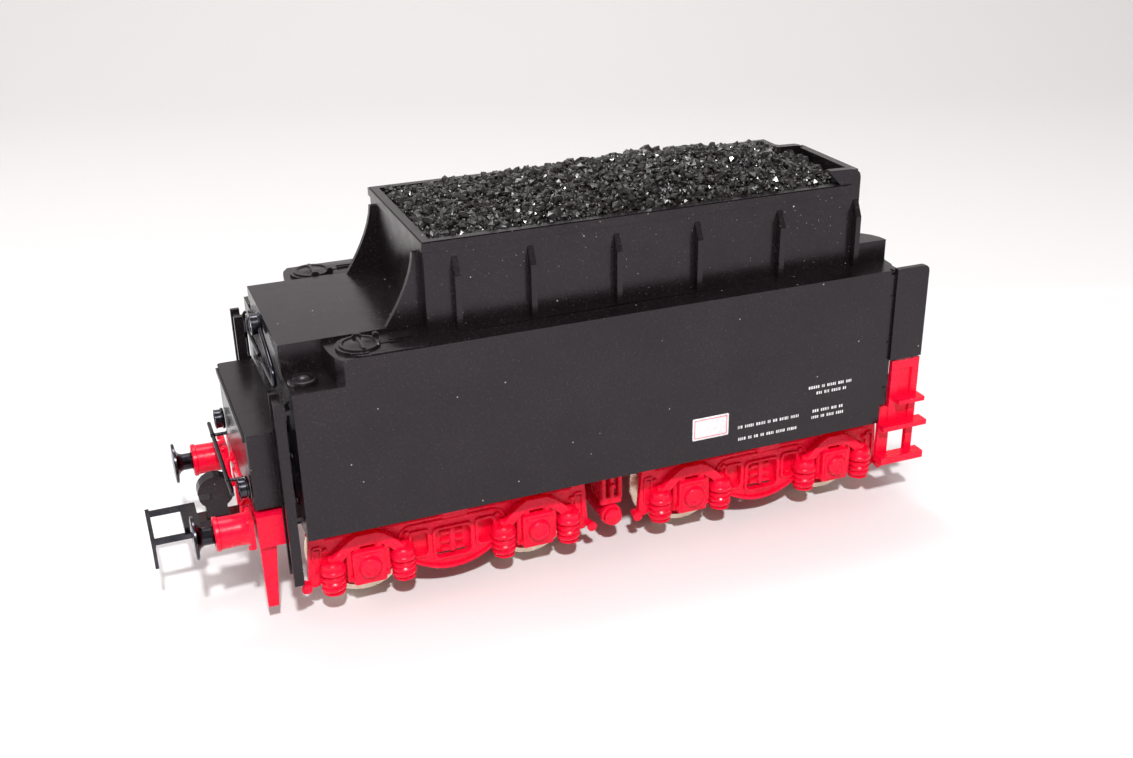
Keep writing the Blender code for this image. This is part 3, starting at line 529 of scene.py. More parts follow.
# Spacing, smallest and largest size of the lumps: grit, pieces and a few big ones.
LUMP_SIZES = ((0.62, 0.22, 0.42), (1.1, 0.42, 0.7), (1.8, 0.7, 1.05))


def make_coal():
    """Crushed coal glued on a heap: a rough bed with sharp-edged lumps pressed into it."""
    low, high = box_mm("coal_load")
    length = high.x - low.x
    half = high.y
    edge_z = low.z + HEAP_EDGE
    crest = high.z - edge_z - LUMP_ROOM

    def height(x, y):
        """The heap's height: it swells towards the front and the middle."""
        along = (x - low.x) / length
        across = max(0.0, 1 - (y / half) ** 2)
        swell = math.sin(0.9 * math.pi * along**1.35)
        hump = 0.4 * noise.noise((x * 0.3, y * 0.3, 0)) * min(1.0, across * 3)
        return edge_z + crest * swell * across**0.75 + hump

    bm = bmesh.new()
    grid = []
    for i in range(BED_COLUMNS + 1):
        x = low.x + length * i / BED_COLUMNS
        grid.append([])
        for j in range(BED_ROWS + 1):
            y = -half + 2 * half * j / BED_ROWS
            z = height(x, y) - 0.1 + 0.35 * noise.noise((x * 1.7, y * 1.7, 5))
            grid[-1].append(bm.verts.new((x, y, min(z, high.z))))
    for i in range(BED_COLUMNS):
        for j in range(BED_ROWS):
            bm.faces.new((grid[i][j], grid[i + 1][j], grid[i + 1][j + 1], grid[i][j + 1]))
    border = [column[0] for column in grid[:-1]] + grid[-1][:-1]
    border += [column[-1] for column in grid[:0:-1]] + grid[0][:0:-1]
    foot = [bm.verts.new((corner.co.x, corner.co.y, edge_z - BED_DEPTH)) for corner in border]
    for k, corner in enumerate(border):
        bm.faces.new((border[k - 1], corner, foot[k], foot[k - 1]))
    bm.faces.new(foot)
    for pitch, smallest, largest in LUMP_SIZES:
        for i in range(int(length / pitch) + 1):
            for j in range(int(2 * half / pitch) + 1):
                size = RNG.uniform(smallest, largest)
                reach = size * 0.85
                x = min(max(low.x + pitch * (i + RNG.uniform(0, 1)), low.x + reach), high.x - reach)
                y = min(max(-half + pitch * (j + RNG.uniform(0, 1)), reach - half), half - reach)
                z = min(height(x, y) + size * RNG.uniform(-0.15, 0.35), high.z - size)
                lump(bm, Vector((x, y, z)), size)
    piece("coal_heap", bm, "tender", "coal", replaces=("coal_load",), smooth=10)


def lump(bm, spot, size):
    """Adds one broken lump: a flat-sided stone with its corners knocked about."""
    lean = Vector((RNG.uniform(-1, 1), RNG.uniform(-1, 1), RNG.uniform(-1, 1))).normalized()
    turn = Matrix.Rotation(RNG.uniform(0, 6.3), 4, lean)
    stretch = Matrix.Diagonal((RNG.uniform(0.75, 1.1), RNG.uniform(0.6, 1.0), RNG.uniform(0.45, 0.8), 1))
    place = Matrix.Translation(spot) @ turn @ stretch
    corners = [bm.verts.new(place @ (corner * size * RNG.uniform(0.7, 1.08))) for corner in STONE_CORNERS]
    for face in STONE_FACES:
        bm.faces.new([corners[k] for k in face])


make_coal()


# ---------------------------------------------------------------- bogies


AXLE_OFFSET = (joint_spot("wheelset_2_roll").x - joint_spot("wheelset_1_roll").x) / 2
AXLE_Z = joint_spot("wheelset_1_roll").z
FRAME_LOW, FRAME_HIGH = box_mm("rear_bogie_frame_right")
FRAME_END = 18.3
FRAME_SLANT = 0.5
FRAME_TOP = 12.75
FRAME_FACE = 12.0
FRAME_BACK = -FRAME_HIGH.y
BELLY_HALF = 5.4
BELLY_RISE = 1.9
BOX_FACE = 13.3
BEAM_FACE = 13.1
SPRING_OFFSET = 4.4
SPRING_Y = 12.4
SPRING_FOOT = FRAME_LOW.z + 0.5
SPRING_TOP = 6.25
COIL_RADIUS = 1.17
COIL_WIRE = 0.4
COIL_TURNS = 3.6


def belly(drop=0.0):
    """The fish belly's lower edge from rear to front, raised by drop."""
    places = (-BELLY_HALF, -4.2, -2.8, -1.4, 0, 1.4, 2.8, 4.2, BELLY_HALF)
    return [(x, FRAME_LOW.z + drop + BELLY_RISE * (x / BELLY_HALF) ** 2) for x in places]


def frame_outline():
    """The side frame's outline: slanted ends with a hooked foot, the belly in the middle."""
    return [
        (-FRAME_END + FRAME_SLANT, 11.3),
        (-FRAME_END, 4.6),
        *arc((-FRAME_END + 0.9, 4.9), 0.7, 200, 320, 4),
        (-16.6, 5.2),
        (-6.1, 5.3),
        *belly(),
        (6.1, 5.3),
        (16.6, 5.2),
        *arc((FRAME_END - 0.9, 4.9), 0.7, 220, 340, 4),
        (FRAME_END, 4.6),
        (FRAME_END - FRAME_SLANT, 11.3),
        (15.6, FRAME_TOP),
        (-15.6, FRAME_TOP),
    ]


def ring(bm, bounds, radius, inset, low, high, soft=0.08):
    """Adds a raised rim as wide as inset, inside the bounds u0, u1, v0, v1."""
    u0, u1, v0, v1 = bounds
    inside = rounded(u0 + inset, u1 - inset, v0 + inset, v1 - inset, radius)
    slab(bm, [rounded(u0, u1, v0, v1, radius), inside], "XZ", low, high, soft)


def make_coil(bm, x, y):
    """A moulded coil spring with its cup above and its seat below."""
    foot, top = SPRING_FOOT + 0.35, SPRING_TOP
    steps = 16
    points = []
    for i in range(int(COIL_TURNS * steps) + 1):
        angle = 2 * math.pi * i / steps
        z = foot + (top - foot) * (i / (COIL_TURNS * steps))
        points.append((x + COIL_RADIUS * math.cos(angle), y + COIL_RADIUS * math.sin(angle), z))
    sweep(bm, points, COIL_WIRE, 8)
    core = 0.98
    lathe(bm, [(foot - 0.3, 0), (foot - 0.3, core), (top + 0.4, core), (top + 0.4, 0)], "Z", (x, y, 0), 20)
    low = SPRING_FOOT
    seat = [(low - 0.05, 0), (low - 0.05, 1.1), (low + 0.1, 1.38), (low + 0.3, 1.3), (low + 0.4, 0)]
    lathe(bm, seat, "Z", (x, y, 0), 28)
    cup = [(top - 0.1, 0), (top - 0.1, 1.4), (top + 0.05, 1.62), (top + 0.5, 1.62), (top + 0.7, 1.45)]
    lathe(bm, [*cup, (top + 1.35, 1.4), (top + 1.55, 1.2), (top + 1.6, 0)], "Z", (x, y, 0), 28)


def make_axle_box(bm, x):
    """The square box with its round cover, the horns beside it and the arched beam over it."""
    face, root = -BOX_FACE, -11.8
    slab(bm, [rounded(x - 2.05, x + 2.05, 4.0, 8.6, 0.35)], "XZ", face, -FRAME_FACE + 0.3, 0.15)
    slab(bm, [rounded(x - 1.7, x + 1.7, 4.35, 8.2, 0.5)], "XZ", face - 0.12, face + 0.1, 0.06)
    dome = [(0.1, 1.6), (-0.1, 1.6), (-0.2, 1.45), (-0.55, 1.35), (-0.7, 1.2)]
    cover = [*dome, (-0.72, 0.8), (-0.62, 0.72), (-0.62, 0)]
    lathe(bm, cover, "Y", (x, face, AXLE_Z - 0.4), 32)
    bolt = [(0.2, 0.24), (-0.12, 0.24), (-0.18, 0.16), (-0.18, 0)]
    for side in (-1, 1):
        lathe(bm, bolt, "Y", (x + side * 1.45, face, 7.85), 12)
        block(bm, (x + side * 2.0, x + side * 2.65), (-12.75, root), (4.3, 9.6), 0.12)
        block(bm, (x + side * 0.9, x + side * 1.9), (-12.9, root), (8.4, 9.7), 0.2)
        block(bm, (x + side * 1.75, x + side * 2.35), (-13.15, root), (4.5, 5.2), 0.12)
    over = (-4.9, -4.2, -3.3, -2.2, -1.3, 1.3, 2.2, 3.3, 4.2, 4.9)
    under = (4.1, 3.3, 2.4, 1.4, -1.4, -2.4, -3.3, -4.1)
    outer = [(x + u, 11.1 - 0.182 * abs(u) ** 1.85) for u in over]
    inner = [(x + u, 9.6 - 0.205 * abs(u) ** 1.9) for u in under]
    slab(bm, [outer + inner], "XZ", -BEAM_FACE, -FRAME_FACE + 0.2, 0.16)
    link = [(7.6, 0.62), (8.3, 0.55), (8.45, 0.35), (8.45, 0)]
    for side in (-1, 1):
        spring = x + side * SPRING_OFFSET
        make_coil(bm, spring, -SPRING_Y)
        lathe(bm, link, "Z", (spring, -SPRING_Y, 0), 16)


def make_side_frame(name, body, place, node):
    """One moulded side frame, drawn for the right-hand side."""
    bm = bmesh.new()
    windows = [(-2.3, 2.3, 4.7, 8.7, 0.7), (-5.35, -3.25, 5.6, 8.9, 0.6), (3.25, 5.35, 5.6, 8.9, 0.6)]
    face, back = -FRAME_FACE, -FRAME_BACK
    slab(bm, [frame_outline(), *(rounded(*w) for w in windows)], "XZ", face, face + 0.9, 0.12)
    slab(bm, [rounded(-6.2, 6.2, 4.9, 9.6, 0.5)], "XZ", face + 0.75, back, 0.05)
    rim = 0.32
    for u0, u1, v0, v1, radius in windows:
        bounds = (u0 - rim, u1 + rim, v0 - rim, v1 + rim)
        ring(bm, bounds, radius, 0.34, face - 0.25, face + 0.2)
    for low, high in ((5.15, 5.75), (6.3, 6.9), (7.45, 8.05)):
        block(bm, (-1.5, 1.5), (face + 0.3, face + 0.9), (low, high), 0.12)
    block(bm, (-0.35, 0.35), (face + 0.2, face + 0.9), (5.0, 8.4), 0.1)
    lip = [*belly(), *reversed(belly(0.45))]
    slab(bm, [lip], "XZ", face - 0.28, face + 0.2, 0.1)
    for side in (-1, 1):
        flank = sorted((side * 5.4, side * 8.3))
        block(bm, flank, (face - 0.28, face + 0.2), (5.0, 5.42), 0.1)
        ring(bm, (*sorted((side * 16.3, side * 17.6)), 5.9, 9.9), 0.4, rim, face - 0.22, face + 0.2)
        knob = [(0.3, 0.5), (-0.35, 0.5), (-0.42, 0.66), (-0.6, 0.66), (-0.7, 0.5), (-0.7, 0)]
        end = (side * 18.6, face, 4.6)
        lathe(bm, knob, "Y", end, 20)
        lathe(bm, [(0.9, 0.42), (0.0, 0.42), (0.0, 0)], "Y", end, 14)
        make_axle_box(bm, side * AXLE_OFFSET)
    block(bm, (-FRAME_END + 0.2, FRAME_END - 0.2), (face - 0.16, face + 0.2), (11.55, 12.0), 0.08)
    ridge = [(-7.3, 7.6), (-6.5, 9.55), (-5.6, 10.0), (5.6, 10.0), (6.5, 9.55), (7.3, 7.6)]
    sweep(bm, bent([(x, face - 0.02, z) for x, z in ridge], 0.8), 0.2)
    sweep(bm, [(x, face - 0.02, 10.6) for x in (-15.9, -6.5, 6.5, 15.9)], 0.16)
    block(bm, (-1.7, 1.7), (face - 1.6, face + 0.9), (10.95, 12.6), 0.15)
    rivet = [(0.2, 0.34), (-0.24, 0.34), (-0.34, 0.2), (-0.34, 0)]
    for x in (-16.0, -5.9, 5.9, 16.0):
        lathe(bm, rivet, "Y", (x, face, 9.15), 12)
    piece(name, bm, body, "red_plastic", replaces=(node,), smooth=40, place=place)


TREAD_RADIUS = 5.75


def make_wheels(number, body):
    """Both wheels of an axle: a nickel tyre with its flange round a red disc."""
    spot = joint_spot(f"wheelset_{number}_roll")
    for hand, side in SIDES:
        node = f"wheel_{hand}_{number}"
        low, high = box_mm(node)
        inner, outer = min(abs(low.y), abs(high.y)), max(abs(low.y), abs(high.y))
        flange, tread = (high.z - low.z) / 2, TREAD_RADIUS
        tyre = [
            (inner, tread - 1.1),
            (inner, flange - 0.35),
            (inner + 0.12, flange - 0.1),
            (inner + 0.35, flange),
            (inner + 0.58, flange - 0.12),
            (inner + 0.72, flange - 0.5),
            (inner + 0.85, tread + 0.18),
            (inner + 1.05, tread + 0.05),
            (outer - 0.25, tread - 0.02),
            (outer, tread - 0.2),
            (outer, tread - 0.85),
            (outer - 0.2, tread - 1.0),
            (outer - 0.9, tread - 1.1),
            (inner, tread - 1.1),
        ]
        bm = bmesh.new()
        lathe(bm, [(side * along, radius) for along, radius in tyre], "Y", (spot.x, 0, spot.z), 72)
        piece(f"tyre_{hand}_{number}", bm, body, "nickel_wheels", replaces=(node,), smooth=30)
        bm = bmesh.new()
        disc = [
            (inner + 0.1, 1.15),
            (inner + 0.1, tread - 1.05),
            (outer - 0.75, tread - 1.05),
            (outer - 0.95, tread - 1.5),
            (outer - 1.2, 3.6),
            (outer - 1.1, 2.3),
            (outer - 0.3, 1.9),
            (outer - 0.1, 1.7),
            (outer - 0.1, 1.15),
            (inner + 0.1, 1.15),
        ]
        lathe(bm, [(side * along, radius) for along, radius in disc], "Y", (spot.x, 0, spot.z), 48)
        boss = [(-0.3 * side, 0.42), (0.25 * side, 0.42), (0.3 * side, 0.3), (0.3 * side, 0)]
        reach = 3.1
        for i in range(6):
            angle = math.radians(60 * i)
            x, z = spot.x + reach * math.cos(angle), spot.z + reach * math.sin(angle)
            lathe(bm, boss, "Y", (x, side * (outer - 1.25), z), 14)
        piece(f"wheel_disc_{hand}_{number}", bm, body, "red_plastic", smooth=35)


for end in ("rear", "front"):
    middle = joint_spot(f"{end}_bogie_swivel").x
    for hand, side in SIDES:
        turn = Matrix.Rotation(math.pi if side > 0 else 0.0, 4, "Z")
        make_side_frame(
            f"{end}_bogie_casting_{hand}",
            f"{end}_bogie",
            Matrix.Translation((middle, 0, 0)) @ turn,
            f"{end}_bogie_frame_{hand}",
        )
for number in range(1, 5):
    make_wheels(number, f"wheelset_{number}")


# ---------------------------------------------------------------- rear end


def turned_piece(name, profile, axis, spot, body, slot, replaces=(), sides=40, smooth=35):
    """Makes a piece of one turned shape."""
    bm = bmesh.new()
    lathe(bm, profile, axis, spot, sides)
    piece(name, bm, body, slot, replaces=replaces, smooth=smooth)


def make_buffers():
    """Turned buffer heads in red sleeves with a flange and four bolt heads."""
    for hand, side in SIDES:
        low, high = box_mm(f"buffer_{hand}")
        y, z = (low.y + high.y) / 2, (low.z + high.z) / 2
        face, radius = low.x, (high.z - low.z) / 2
        stem = high.x
        rider = f"buffer_plunger_{hand}"
        head = [
            (face, 0),
            (face + 0.02, radius * 0.6),
            (face + 0.09, radius * 0.88),
            (face + 0.16, radius - 0.06),
            (face + 0.4, radius - 0.06),
            (face + 0.5, radius - 0.2),
            (face + 0.58, 1.7),
            (face + 0.85, 1.25),
            (face + 1.25, 1.07),
            (stem, 1.05),
            (stem, 0),
        ]
        replaced = (f"buffer_{hand}",)
        turned_piece(f"buffer_head_{hand}", head, "X", (0, y, z), rider, "blackened_metal", replaced, 56)
        rim = [
            (face + 0.12, radius - 0.25),
            (face + 0.1, radius - 0.08),
            (face + 0.2, radius),
            (face + 0.42, radius),
            (face + 0.44, radius - 0.25),
            (face + 0.12, radius - 0.25),
        ]
        turned_piece(f"buffer_rim_{hand}", rim, "X", (0, y, z), rider, "blackened_metal", (), 56)
        low, high = box_mm(f"buffer_sleeve_{hand}")
        mouth, back = low.x, high.x
        sleeve = [
            (mouth, 1.36),
            (mouth, 1.95),
            (mouth + 0.14, 2.1),
            (mouth + 0.5, 2.1),
            (mouth + 0.62, 1.95),
            (mouth + 2.6, 1.9),
            (back - 0.75, 1.95),
            (back - 0.55, 2.12),
            (back - 0.3, 2.14),
            (back - 0.3, 1.36),
            (mouth, 1.36),
        ]
        bm = bmesh.new()
        lathe(bm, sleeve, "X", (0, y, z), 48)
        block(bm, (back - 0.6, back), (y - 2.15, y + 2.15), (low.z + 0.1, high.z - 0.1), 0.12)
        bolt = [(back - 0.5, 0.3), (back - 0.85, 0.3), (back - 0.92, 0.2), (back - 0.92, 0)]
        for u in (-1, 1):
            for v in (-1, 1):
                lathe(bm, bolt, "X", (0, y + 1.8 * u, z + 1.72 * v), 12)
        piece(f"sleeve_{hand}", bm, "tender", "red_plastic", replaces=(f"buffer_sleeve_{hand}",))


def make_lamps():
    """Round lamps: a flanged barrel, a rim and a domed glass set back in it."""
    for name in ("lamp_top", "lamp_left", "lamp_right"):
        low, high = box_mm(name)
        radius = (high.y - low.y) / 2 - 0.2
        y, z = (low.y + high.y) / 2, high.z - radius
        front, back = low.x, high.x
        barrel = [
            (back, 0),
            (back, radius + 0.1),
            (back - 0.12, radius + 0.18),
            (back - 0.3, radius + 0.18),
            (back - 0.4, radius),
            (front + 0.25, radius),
            (front + 0.2, radius + 0.06),
            (front + 0.06, radius + 0.06),
            (front, radius - 0.02),
            (front, radius - 0.22),
            (front + 0.3, radius - 0.28),
            (front + 0.32, 0),
        ]
        turned_piece(f"{name}_barrel", barrel, "X", (0, y, z), "tender", "blackened_metal", (name,))
        bm = bmesh.new()
        dome = [(front + 0.31, 0), (front + 0.31, radius - 0.3), (front + 0.2, radius - 0.34)]
        lathe(bm, [*dome, (front + 0.1, (radius - 0.3) * 0.55), (front + 0.06, 0)], "X", (0, y, z), 32)
        piece(f"{name}_glass", bm, "tender", look=LENS)


def make_rails():
    """Bent wire handrails with their stanchions."""
    for hand, side in SIDES:
        low, high = box_mm(f"corner_handrail_{hand}")
        x, y = (low.x + high.x) / 2, (low.y + high.y) / 2
        bm = bmesh.new()
        foot = [(x + 0.3, y, low.z + 0.1), (x, y, low.z + 0.4)]
        head = [(x, y, high.z - 0.4), (x + 0.3, y, high.z - 0.1)]
        sweep(bm, bent([*foot, *head]), 0.2)
        for z in (low.z + 0.9, (low.z + high.z) / 2, high.z - 0.9):
            ball = [(z - 0.3, 0), (z - 0.3, 0.28), (z, 0.36), (z + 0.3, 0.28), (z + 0.3, 0)]
            lathe(bm, ball, "Z", (x, y, 0), 14)
        piece(f"corner_rail_{hand}", bm, "tender", "blackened_metal", replaces=(f"corner_handrail_{hand}",))
        low, high = box_mm(f"deck_handrail_{hand}")
        x = (low.x + high.x) / 2
        wire = 0.27
        top, foot = high.z - wire, low.z + wire
        bends = [(2.2, top), (5.6, top - 1.0), (9.2, top - 2.5), (9.5, top - 4.3), (6.0, foot), (1.4, foot)]
        line = [(x, side * y, z) for y, z in bends]
        bm = bmesh.new()
        sweep(bm, bent(line, 1.3), wire, 10)
        piece(f"deck_rail_{hand}", bm, "tender", "blackened_metal", replaces=(f"deck_handrail_{hand}",))


def make_grab_bar():
    """The long bar across the locker's foot, on two stays with round feet."""
    low, high = box_mm("grab_bar")
    z, x = (low.z + high.z) / 2, low.x + 0.27
    bm = bmesh.new()
    line = [(x, y, z) for y in (low.y + 0.05, low.y + 0.4, high.y - 0.4, high.y - 0.05)]
    sweep(bm, line, 0.26, 10)
    wall, foot = high.x, high.x - 0.15
    stay = [(x, 0), (x, 0.22), (foot, 0.22), (foot, 0.3), (wall, 0.3), (wall, 0)]
    for y in (-6.5, 6.5):
        lathe(bm, stay, "X", (0, y, z), 14)
        lathe(bm, [(y - 0.35, 0), (y - 0.35, 0.32), (y + 0.35, 0.32), (y + 0.35, 0)], "Y", (x, 0, z), 14)
    piece("grab_bar_wire", bm, "tender", "blackened_metal", replaces=("grab_bar",))


def make_beam_details():
    """Bolts, pipes and cocks on the buffer beam."""
    low, high = box_mm("buffer_beam")
    face = low.x
    bolt = [(face + 0.1, 0.26), (face - 0.16, 0.26), (face - 0.22, 0.16), (face - 0.22, 0)]
    nozzle = [(10.9, 0), (10.9, 0.38), (11.5, 0.38), (11.5, 0)]
    # Each bend of the pipe: how far it stands off the beam, how far out it is, and its height.
    pipe = ((0, 5.9, 14.6), (0.7, 5.9, 14.5), (0.9, 5.9, 13.4), (0.75, 5.7, 12.0), (0.65, 5.5, 11.2))
    bm = bmesh.new()
    for side in (-1, 1):
        for y in (3.2, 4.6, 7.4):
            for z in (low.z + 0.8, high.z - 0.8):
                lathe(bm, bolt, "X", (0, side * y, z), 10)
        sweep(bm, bent([(face - off, side * out, z) for off, out, z in pipe], 0.7), 0.3, 10)
        off, out, _ = pipe[-1]
        lathe(bm, nozzle, "Z", (face - off, side * out, 0), 14)
        block(bm, (face - 0.3, face + 0.1), (side * 5.2, side * 6.6), (14.2, 15.0), 0.1)
    block(bm, (face - 0.18, face + 0.1), (-2.6, 2.6), (low.z + 0.4, high.z - 0.3), 0.1)
    piece("beam_fittings", bm, "tender", "red_plastic")


DECK_Z = 35.2
SHOULDER_Z = 32.1
HATCH_SPOT = (-28.9, 13.3)
CAP_SPOT = (-35.7, 13.6)


def make_hatches():
    """Filler lids, shoulder caps, hinge blocks and the thin plates they stand on."""
    top, shoulder = DECK_Z, SHOULDER_Z
    for hand, side in reversed(SIDES):
        bm = bmesh.new()
        hatch = (HATCH_SPOT[0], side * HATCH_SPOT[1])
        plate = rounded(-30.4, -21.0, 10.7, 16.35, 1.3)
        slab(bm, [[(u, side * v) for u, v in plate]], "XY", top - 0.1, top + 0.16, 0.06)
        lid = [(top, 2.35), (top + 0.42, 2.35), (top + 0.5, 2.25), (top + 0.5, 2.0), (top + 0.36, 1.85)]
        lathe(bm, [*lid, (top + 0.42, 0.9), (top + 0.52, 0.4), (top + 0.52, 0)], "Z", (*hatch, 0), 40)
        block(bm, (-29.1, -28.6), (side * 11.2, side * 15.4), (top + 0.3, top + 0.66), 0.1)
        block(bm, (-27.1, -26.4), (side * 11.6, side * 12.5), (top, top + 0.95), 0.15)
        block(bm, (-29.3, -28.3), (side * 11.0, side * 11.7), (top, top + 0.85), 0.15)
        for y in (13.2, 13.9):
            block(bm, (-25.6, -22.8), (side * y, side * (y + 0.28)), (top, top + 0.36), 0.08)
        cap = (CAP_SPOT[0], side * CAP_SPOT[1])
        steps = ((0.3, 1.66), (0.55, 1.6), (0.62, 1.35), (0.52, 1.2), (0.75, 0.95), (0.95, 0.5), (1.0, 0))
        lathe(bm, [(shoulder + rise, radius) for rise, radius in steps], "Z", (*cap, 0), 36)
        piece(f"hatch_{hand}", bm, "tender", "black_plastic", smooth=32)


LABEL = (11.6, 16.7, 16.45, 19.5)
BORDER = (11.85, 16.45, 16.7, 19.25)
BORDER_WIDTH = 0.08
# Where each row of strokes starts and ends, and its height.
LONG_ROWS = ((18.1, 26.9, 17.1), (18.2, 26.2, 15.4))
SHORT_ROWS = ((28.3, 34.3, 20.75), (29.5, 34.1, 19.85), (29.1, 34.0, 17.3), (29.0, 34.0, 16.4))
STROKE_HALF = 0.2
STROKE_GAP = 0.12
GROUP_GAP = 0.28
# The print takes up the same length on both sides, so it turns about the middle of that length.
PRINT_MIDDLE = 22.95


def strokes(bm, row, face):
    """Adds a row of small upright strokes in groups of two to five."""
    x, last, z = row
    deep = (-face - 0.03, -face + 0.015)
    high = (z - STROKE_HALF, z + STROKE_HALF)
    while x < last:
        for _ in range(RNG.randint(2, 5)):
            wide = RNG.uniform(0.1, 0.24)
            block(bm, (x, x + wide), deep, high, 0.01)
            x += wide + STROKE_GAP
        x += GROUP_GAP


def make_print():
    """A blank label and rows of plain strokes where a real tender carries its data panels."""
    face = box_mm("tank_shell")[1].y
    across = Matrix.Translation((2 * PRINT_MIDDLE, 0, 0)) @ Matrix.Rotation(math.pi, 4, "Z")
    for hand, side in SIDES:
        turn = None if side < 0 else across
        bm = bmesh.new()
        slab(bm, [rounded(*LABEL, 0.15)], "XZ", -face - 0.06, -face + 0.015, 0.02)
        piece(f"blank_label_{hand}", bm, "tender", look=WHITE_PRINT, place=turn)
        bm = bmesh.new()
        ring(bm, BORDER, 0.12, BORDER_WIDTH, -face - 0.08, -face - 0.02, 0.015)
        piece(f"label_border_{hand}", bm, "tender", "red_plastic", place=turn)
        bm = bmesh.new()
        for row in (*LONG_ROWS, *SHORT_ROWS):
            strokes(bm, row, face)
        piece(f"plain_strokes_{hand}", bm, "tender", look=WHITE_PRINT, place=turn)


def make_reservoir():
    """The air reservoir across the middle, with end bosses and the ribbed bracket over it."""
    low, high = box_mm("air_reservoir")
    x, z = (low.x + high.x) / 2, (low.z + high.z) / 2
    end, radius = high.y, high.x - x
    right = [
        (-end, 0),
        (-end, radius * 0.68),
        (-end + 0.12, radius * 0.8),
        (-end + 0.75, radius * 0.82),
        (-end + 0.85, radius * 0.97),
        (-end + 1.0, radius),
        (-end + 1.5, radius),
        (-end + 1.6, radius * 0.9),
    ]
    left = [(-along, size) for along, size in reversed(right)]
    replaced = ("air_reservoir",)
    turned_piece("reservoir_tank", [*right, *left], "Y", (x, 0, z), "tender", "red_plastic", replaced, 44)
    bm = bmesh.new()
    root, rib_face = 10.5, 11.6
    for side in (-1, 1):
        y = sorted((side * root, side * rib_face))
        for shift in (-1.15, 0, 1.15):
            block(bm, (x + shift - 0.28, x + shift + 0.28), y, (7.4, 13.4), 0.1)
        block(bm, (x - 1.6, x + 1.6), y, (11.2, 11.9), 0.1)
        block(bm, (x - 1.5, x + 1.5), sorted((side * root, side * 11.3)), (6.5, 7.7), 0.15)
        bolt = ((11.2, 0.42), (11.85, 0.42), (11.95, 0.3), (11.95, 0))
        lathe(bm, [(side * along, size) for along, size in bolt], "Y", (x, 0, 9.4), 16)
    piece("hanger_ribs", bm, "tender", "red_plastic")


TANK_FRONT = 39.5


def make_corner_posts():
    """The rounded corner posts between the tank's sides and the front bay."""
    x = (TANK_FRONT - 0.05, TANK_FRONT + 1.4)
    bolt = ((16.1, 0.2), (16.33, 0.2), (16.4, 0.1), (16.4, 0))
    for hand, side in SIDES:
        bm = bmesh.new()
        block(bm, x, sorted((side * 15.5, side * 16.25)), (15.7, 34.7), 0.3)
        for z in (18.5, 25.0, 31.5):
            lathe(bm, [(side * along, size) for along, size in bolt], "Y", (TANK_FRONT + 0.7, 0, z), 10)
        piece(f"corner_post_{hand}", bm, "tender", "black_plastic")


LOCKER_Y = 7.9
HINGE_Y = 10.75
# How far out each handle is, its foot and its top: the lockers' handles and the corner grips.
HANDLES = ((5.9, 23.0, 26.4), (11.4, 18.5, 31.0))


def make_front_details():
    """Tool lockers and the shovelling door on the front bulkhead: rims, hinges and handles."""
    face = box_mm("front_bulkhead")[1].x
    bm = bmesh.new()
    for side in (-1, 1):
        middle, hinge = side * LOCKER_Y, side * HINGE_Y
        door = rounded(middle - 2.9, middle + 2.9, 17.8, 31.7, 0.5)
        inner = rounded(middle - 2.6, middle + 2.6, 18.1, 31.4, 0.4)
        slab(bm, [door, inner], "YZ", face - 0.35, face + 0.02, 0.08)
        for z in (20.0, 24.7, 29.4):
            barrel = [(z - 0.7, 0), (z - 0.7, 0.3), (z + 0.7, 0.3), (z + 0.7, 0)]
            lathe(bm, barrel, "Z", (face - 0.1, hinge, 0), 12)
            block(bm, (face - 0.2, face + 0.06), sorted((hinge, side * 9.0)), (z - 0.3, z + 0.3), 0.06)
    door = rounded(-3.7, 3.7, 16.9, 27.6, 0.4)
    inner = rounded(-3.3, 3.3, 17.3, 27.2, 0.3)
    slab(bm, [door, inner], "YZ", face - 0.2, face + 0.08, 0.08)
    for z in (18.6, 21.2, 23.8, 26.0):
        block(bm, (face - 0.2, face + 0.05), (-3.1, 3.1), (z - 0.22, z + 0.22), 0.06)
    piece("front_doors", bm, "tender", "black_plastic")
    bm = bmesh.new()
    root, proud = face - 0.6, face + 0.35
    for side in (-1, 1):
        for out, low, high in HANDLES:
            y = side * out
            rail = [(root, y, low), (proud, y, low), (proud, y, high), (root, y, high)]
            sweep(bm, bent(rail, 0.5), 0.17)
    piece("front_handles", bm, "tender", "blackened_metal")


make_reservoir()
make_corner_posts()
make_front_details()
make_buffers()
make_lamps()
make_rails()
make_grab_bar()
make_beam_details()
make_hatches()
make_print()


# ---------------------------------------------------------------- stage


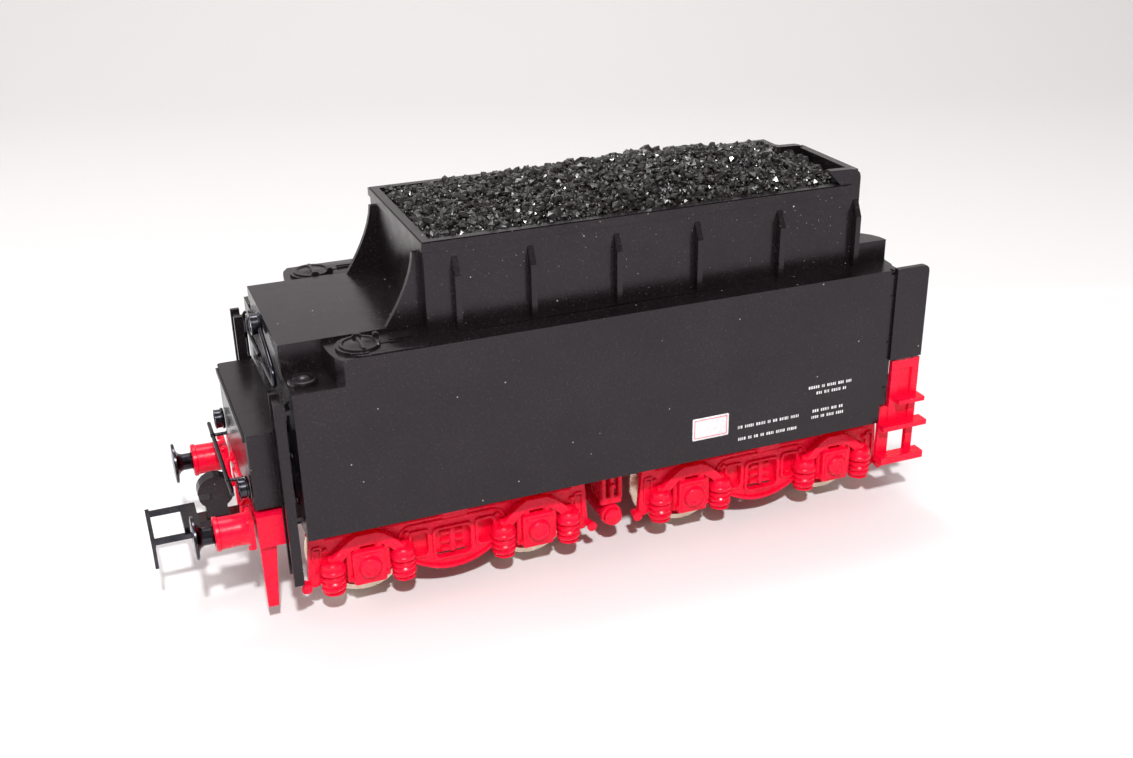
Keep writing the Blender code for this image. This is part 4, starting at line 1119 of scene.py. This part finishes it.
def make_floor():
    """White card that lies flat and then curves up into a backdrop behind the model."""
    bm = bmesh.new()
    near, bend, rise, wide, top = -900.0, 260.0, 260.0, 1600.0, 1400.0
    profile = [(near, 0.0), (bend, 0.0)]
    steps = 16
    for i in range(1, steps + 1):
        turn = math.radians(90 * i / steps)
        profile.append((bend + rise * math.sin(turn), rise * (1 - math.cos(turn))))
    profile.append((bend + rise, top))
    rows = [[bm.verts.new((x, y, z)) for x in (-wide, wide)] for y, z in profile]
    for low, high in zip(rows, rows[1:]):
        bm.faces.new((low[0], low[1], high[1], high[0]))
    mesh = bpy.data.meshes.new("floor")
    bm.transform(Matrix.Rotation(math.radians(-21), 4, "Z") @ Matrix.Scale(MM, 4))
    bm.to_mesh(mesh)
    bm.free()
    mesh.shade_smooth()
    mesh.materials.append(pale_floor())
    floor = bpy.data.objects.new("floor", mesh)
    bpy.context.scene.collection.objects.link(floor)


def area_light(name, spot, target, size, watts):
    """A round soft lamp at a spot, aimed at a target, in metres and watts."""
    data = bpy.data.lights.new(name, "AREA")
    data.shape = "DISK"
    data.size = size
    data.energy = watts
    lamp = bpy.data.objects.new(name, data)
    lamp.location = spot
    lamp.rotation_euler = (Vector(target) - Vector(spot)).to_track_quat("-Z", "Y").to_euler()
    bpy.context.scene.collection.objects.link(lamp)


def make_lights():
    """A dim even room, a small key on the right-hand side and three soft lamps."""
    world = bpy.data.worlds.new("studio")
    world.use_nodes = True
    world.node_tree.nodes["Background"].inputs["Color"].default_value = (1.0, 0.985, 0.97, 1)
    world.node_tree.nodes["Background"].inputs["Strength"].default_value = 0.34
    bpy.context.scene.world = world
    area_light("key", (-0.073, -0.300, 0.345), (0, 0, 0.01), 0.025, 1.9)
    area_light("overhead", (0.1, 0.30, 0.70), (0, 0.05, 0.03), 0.45, 0.6)
    area_light("side fill", (-0.50, 0.02, 0.30), (-0.03, 0, 0.02), 0.30, 1.1)
    area_light("glints", (-0.02, 0.16, 0.50), (0.01, 0, 0.045), 0.14, 0.6)


def make_camera():
    """Above the rear right, looking down across the tender."""
    data = bpy.data.cameras.new("camera")
    data.lens = 41.40
    data.sensor_width = 36.0
    data.clip_start = 0.005
    camera = bpy.data.objects.new("camera", data)
    camera.location = (-0.056155, -0.147720, 0.092150)
    camera.rotation_euler = (1.1441, 0.0168, -0.3777)
    bpy.context.scene.collection.objects.link(camera)
    bpy.context.scene.camera = camera


make_floor()
make_lights()
make_camera()
bpy.context.scene.view_settings.view_transform = "Standard"
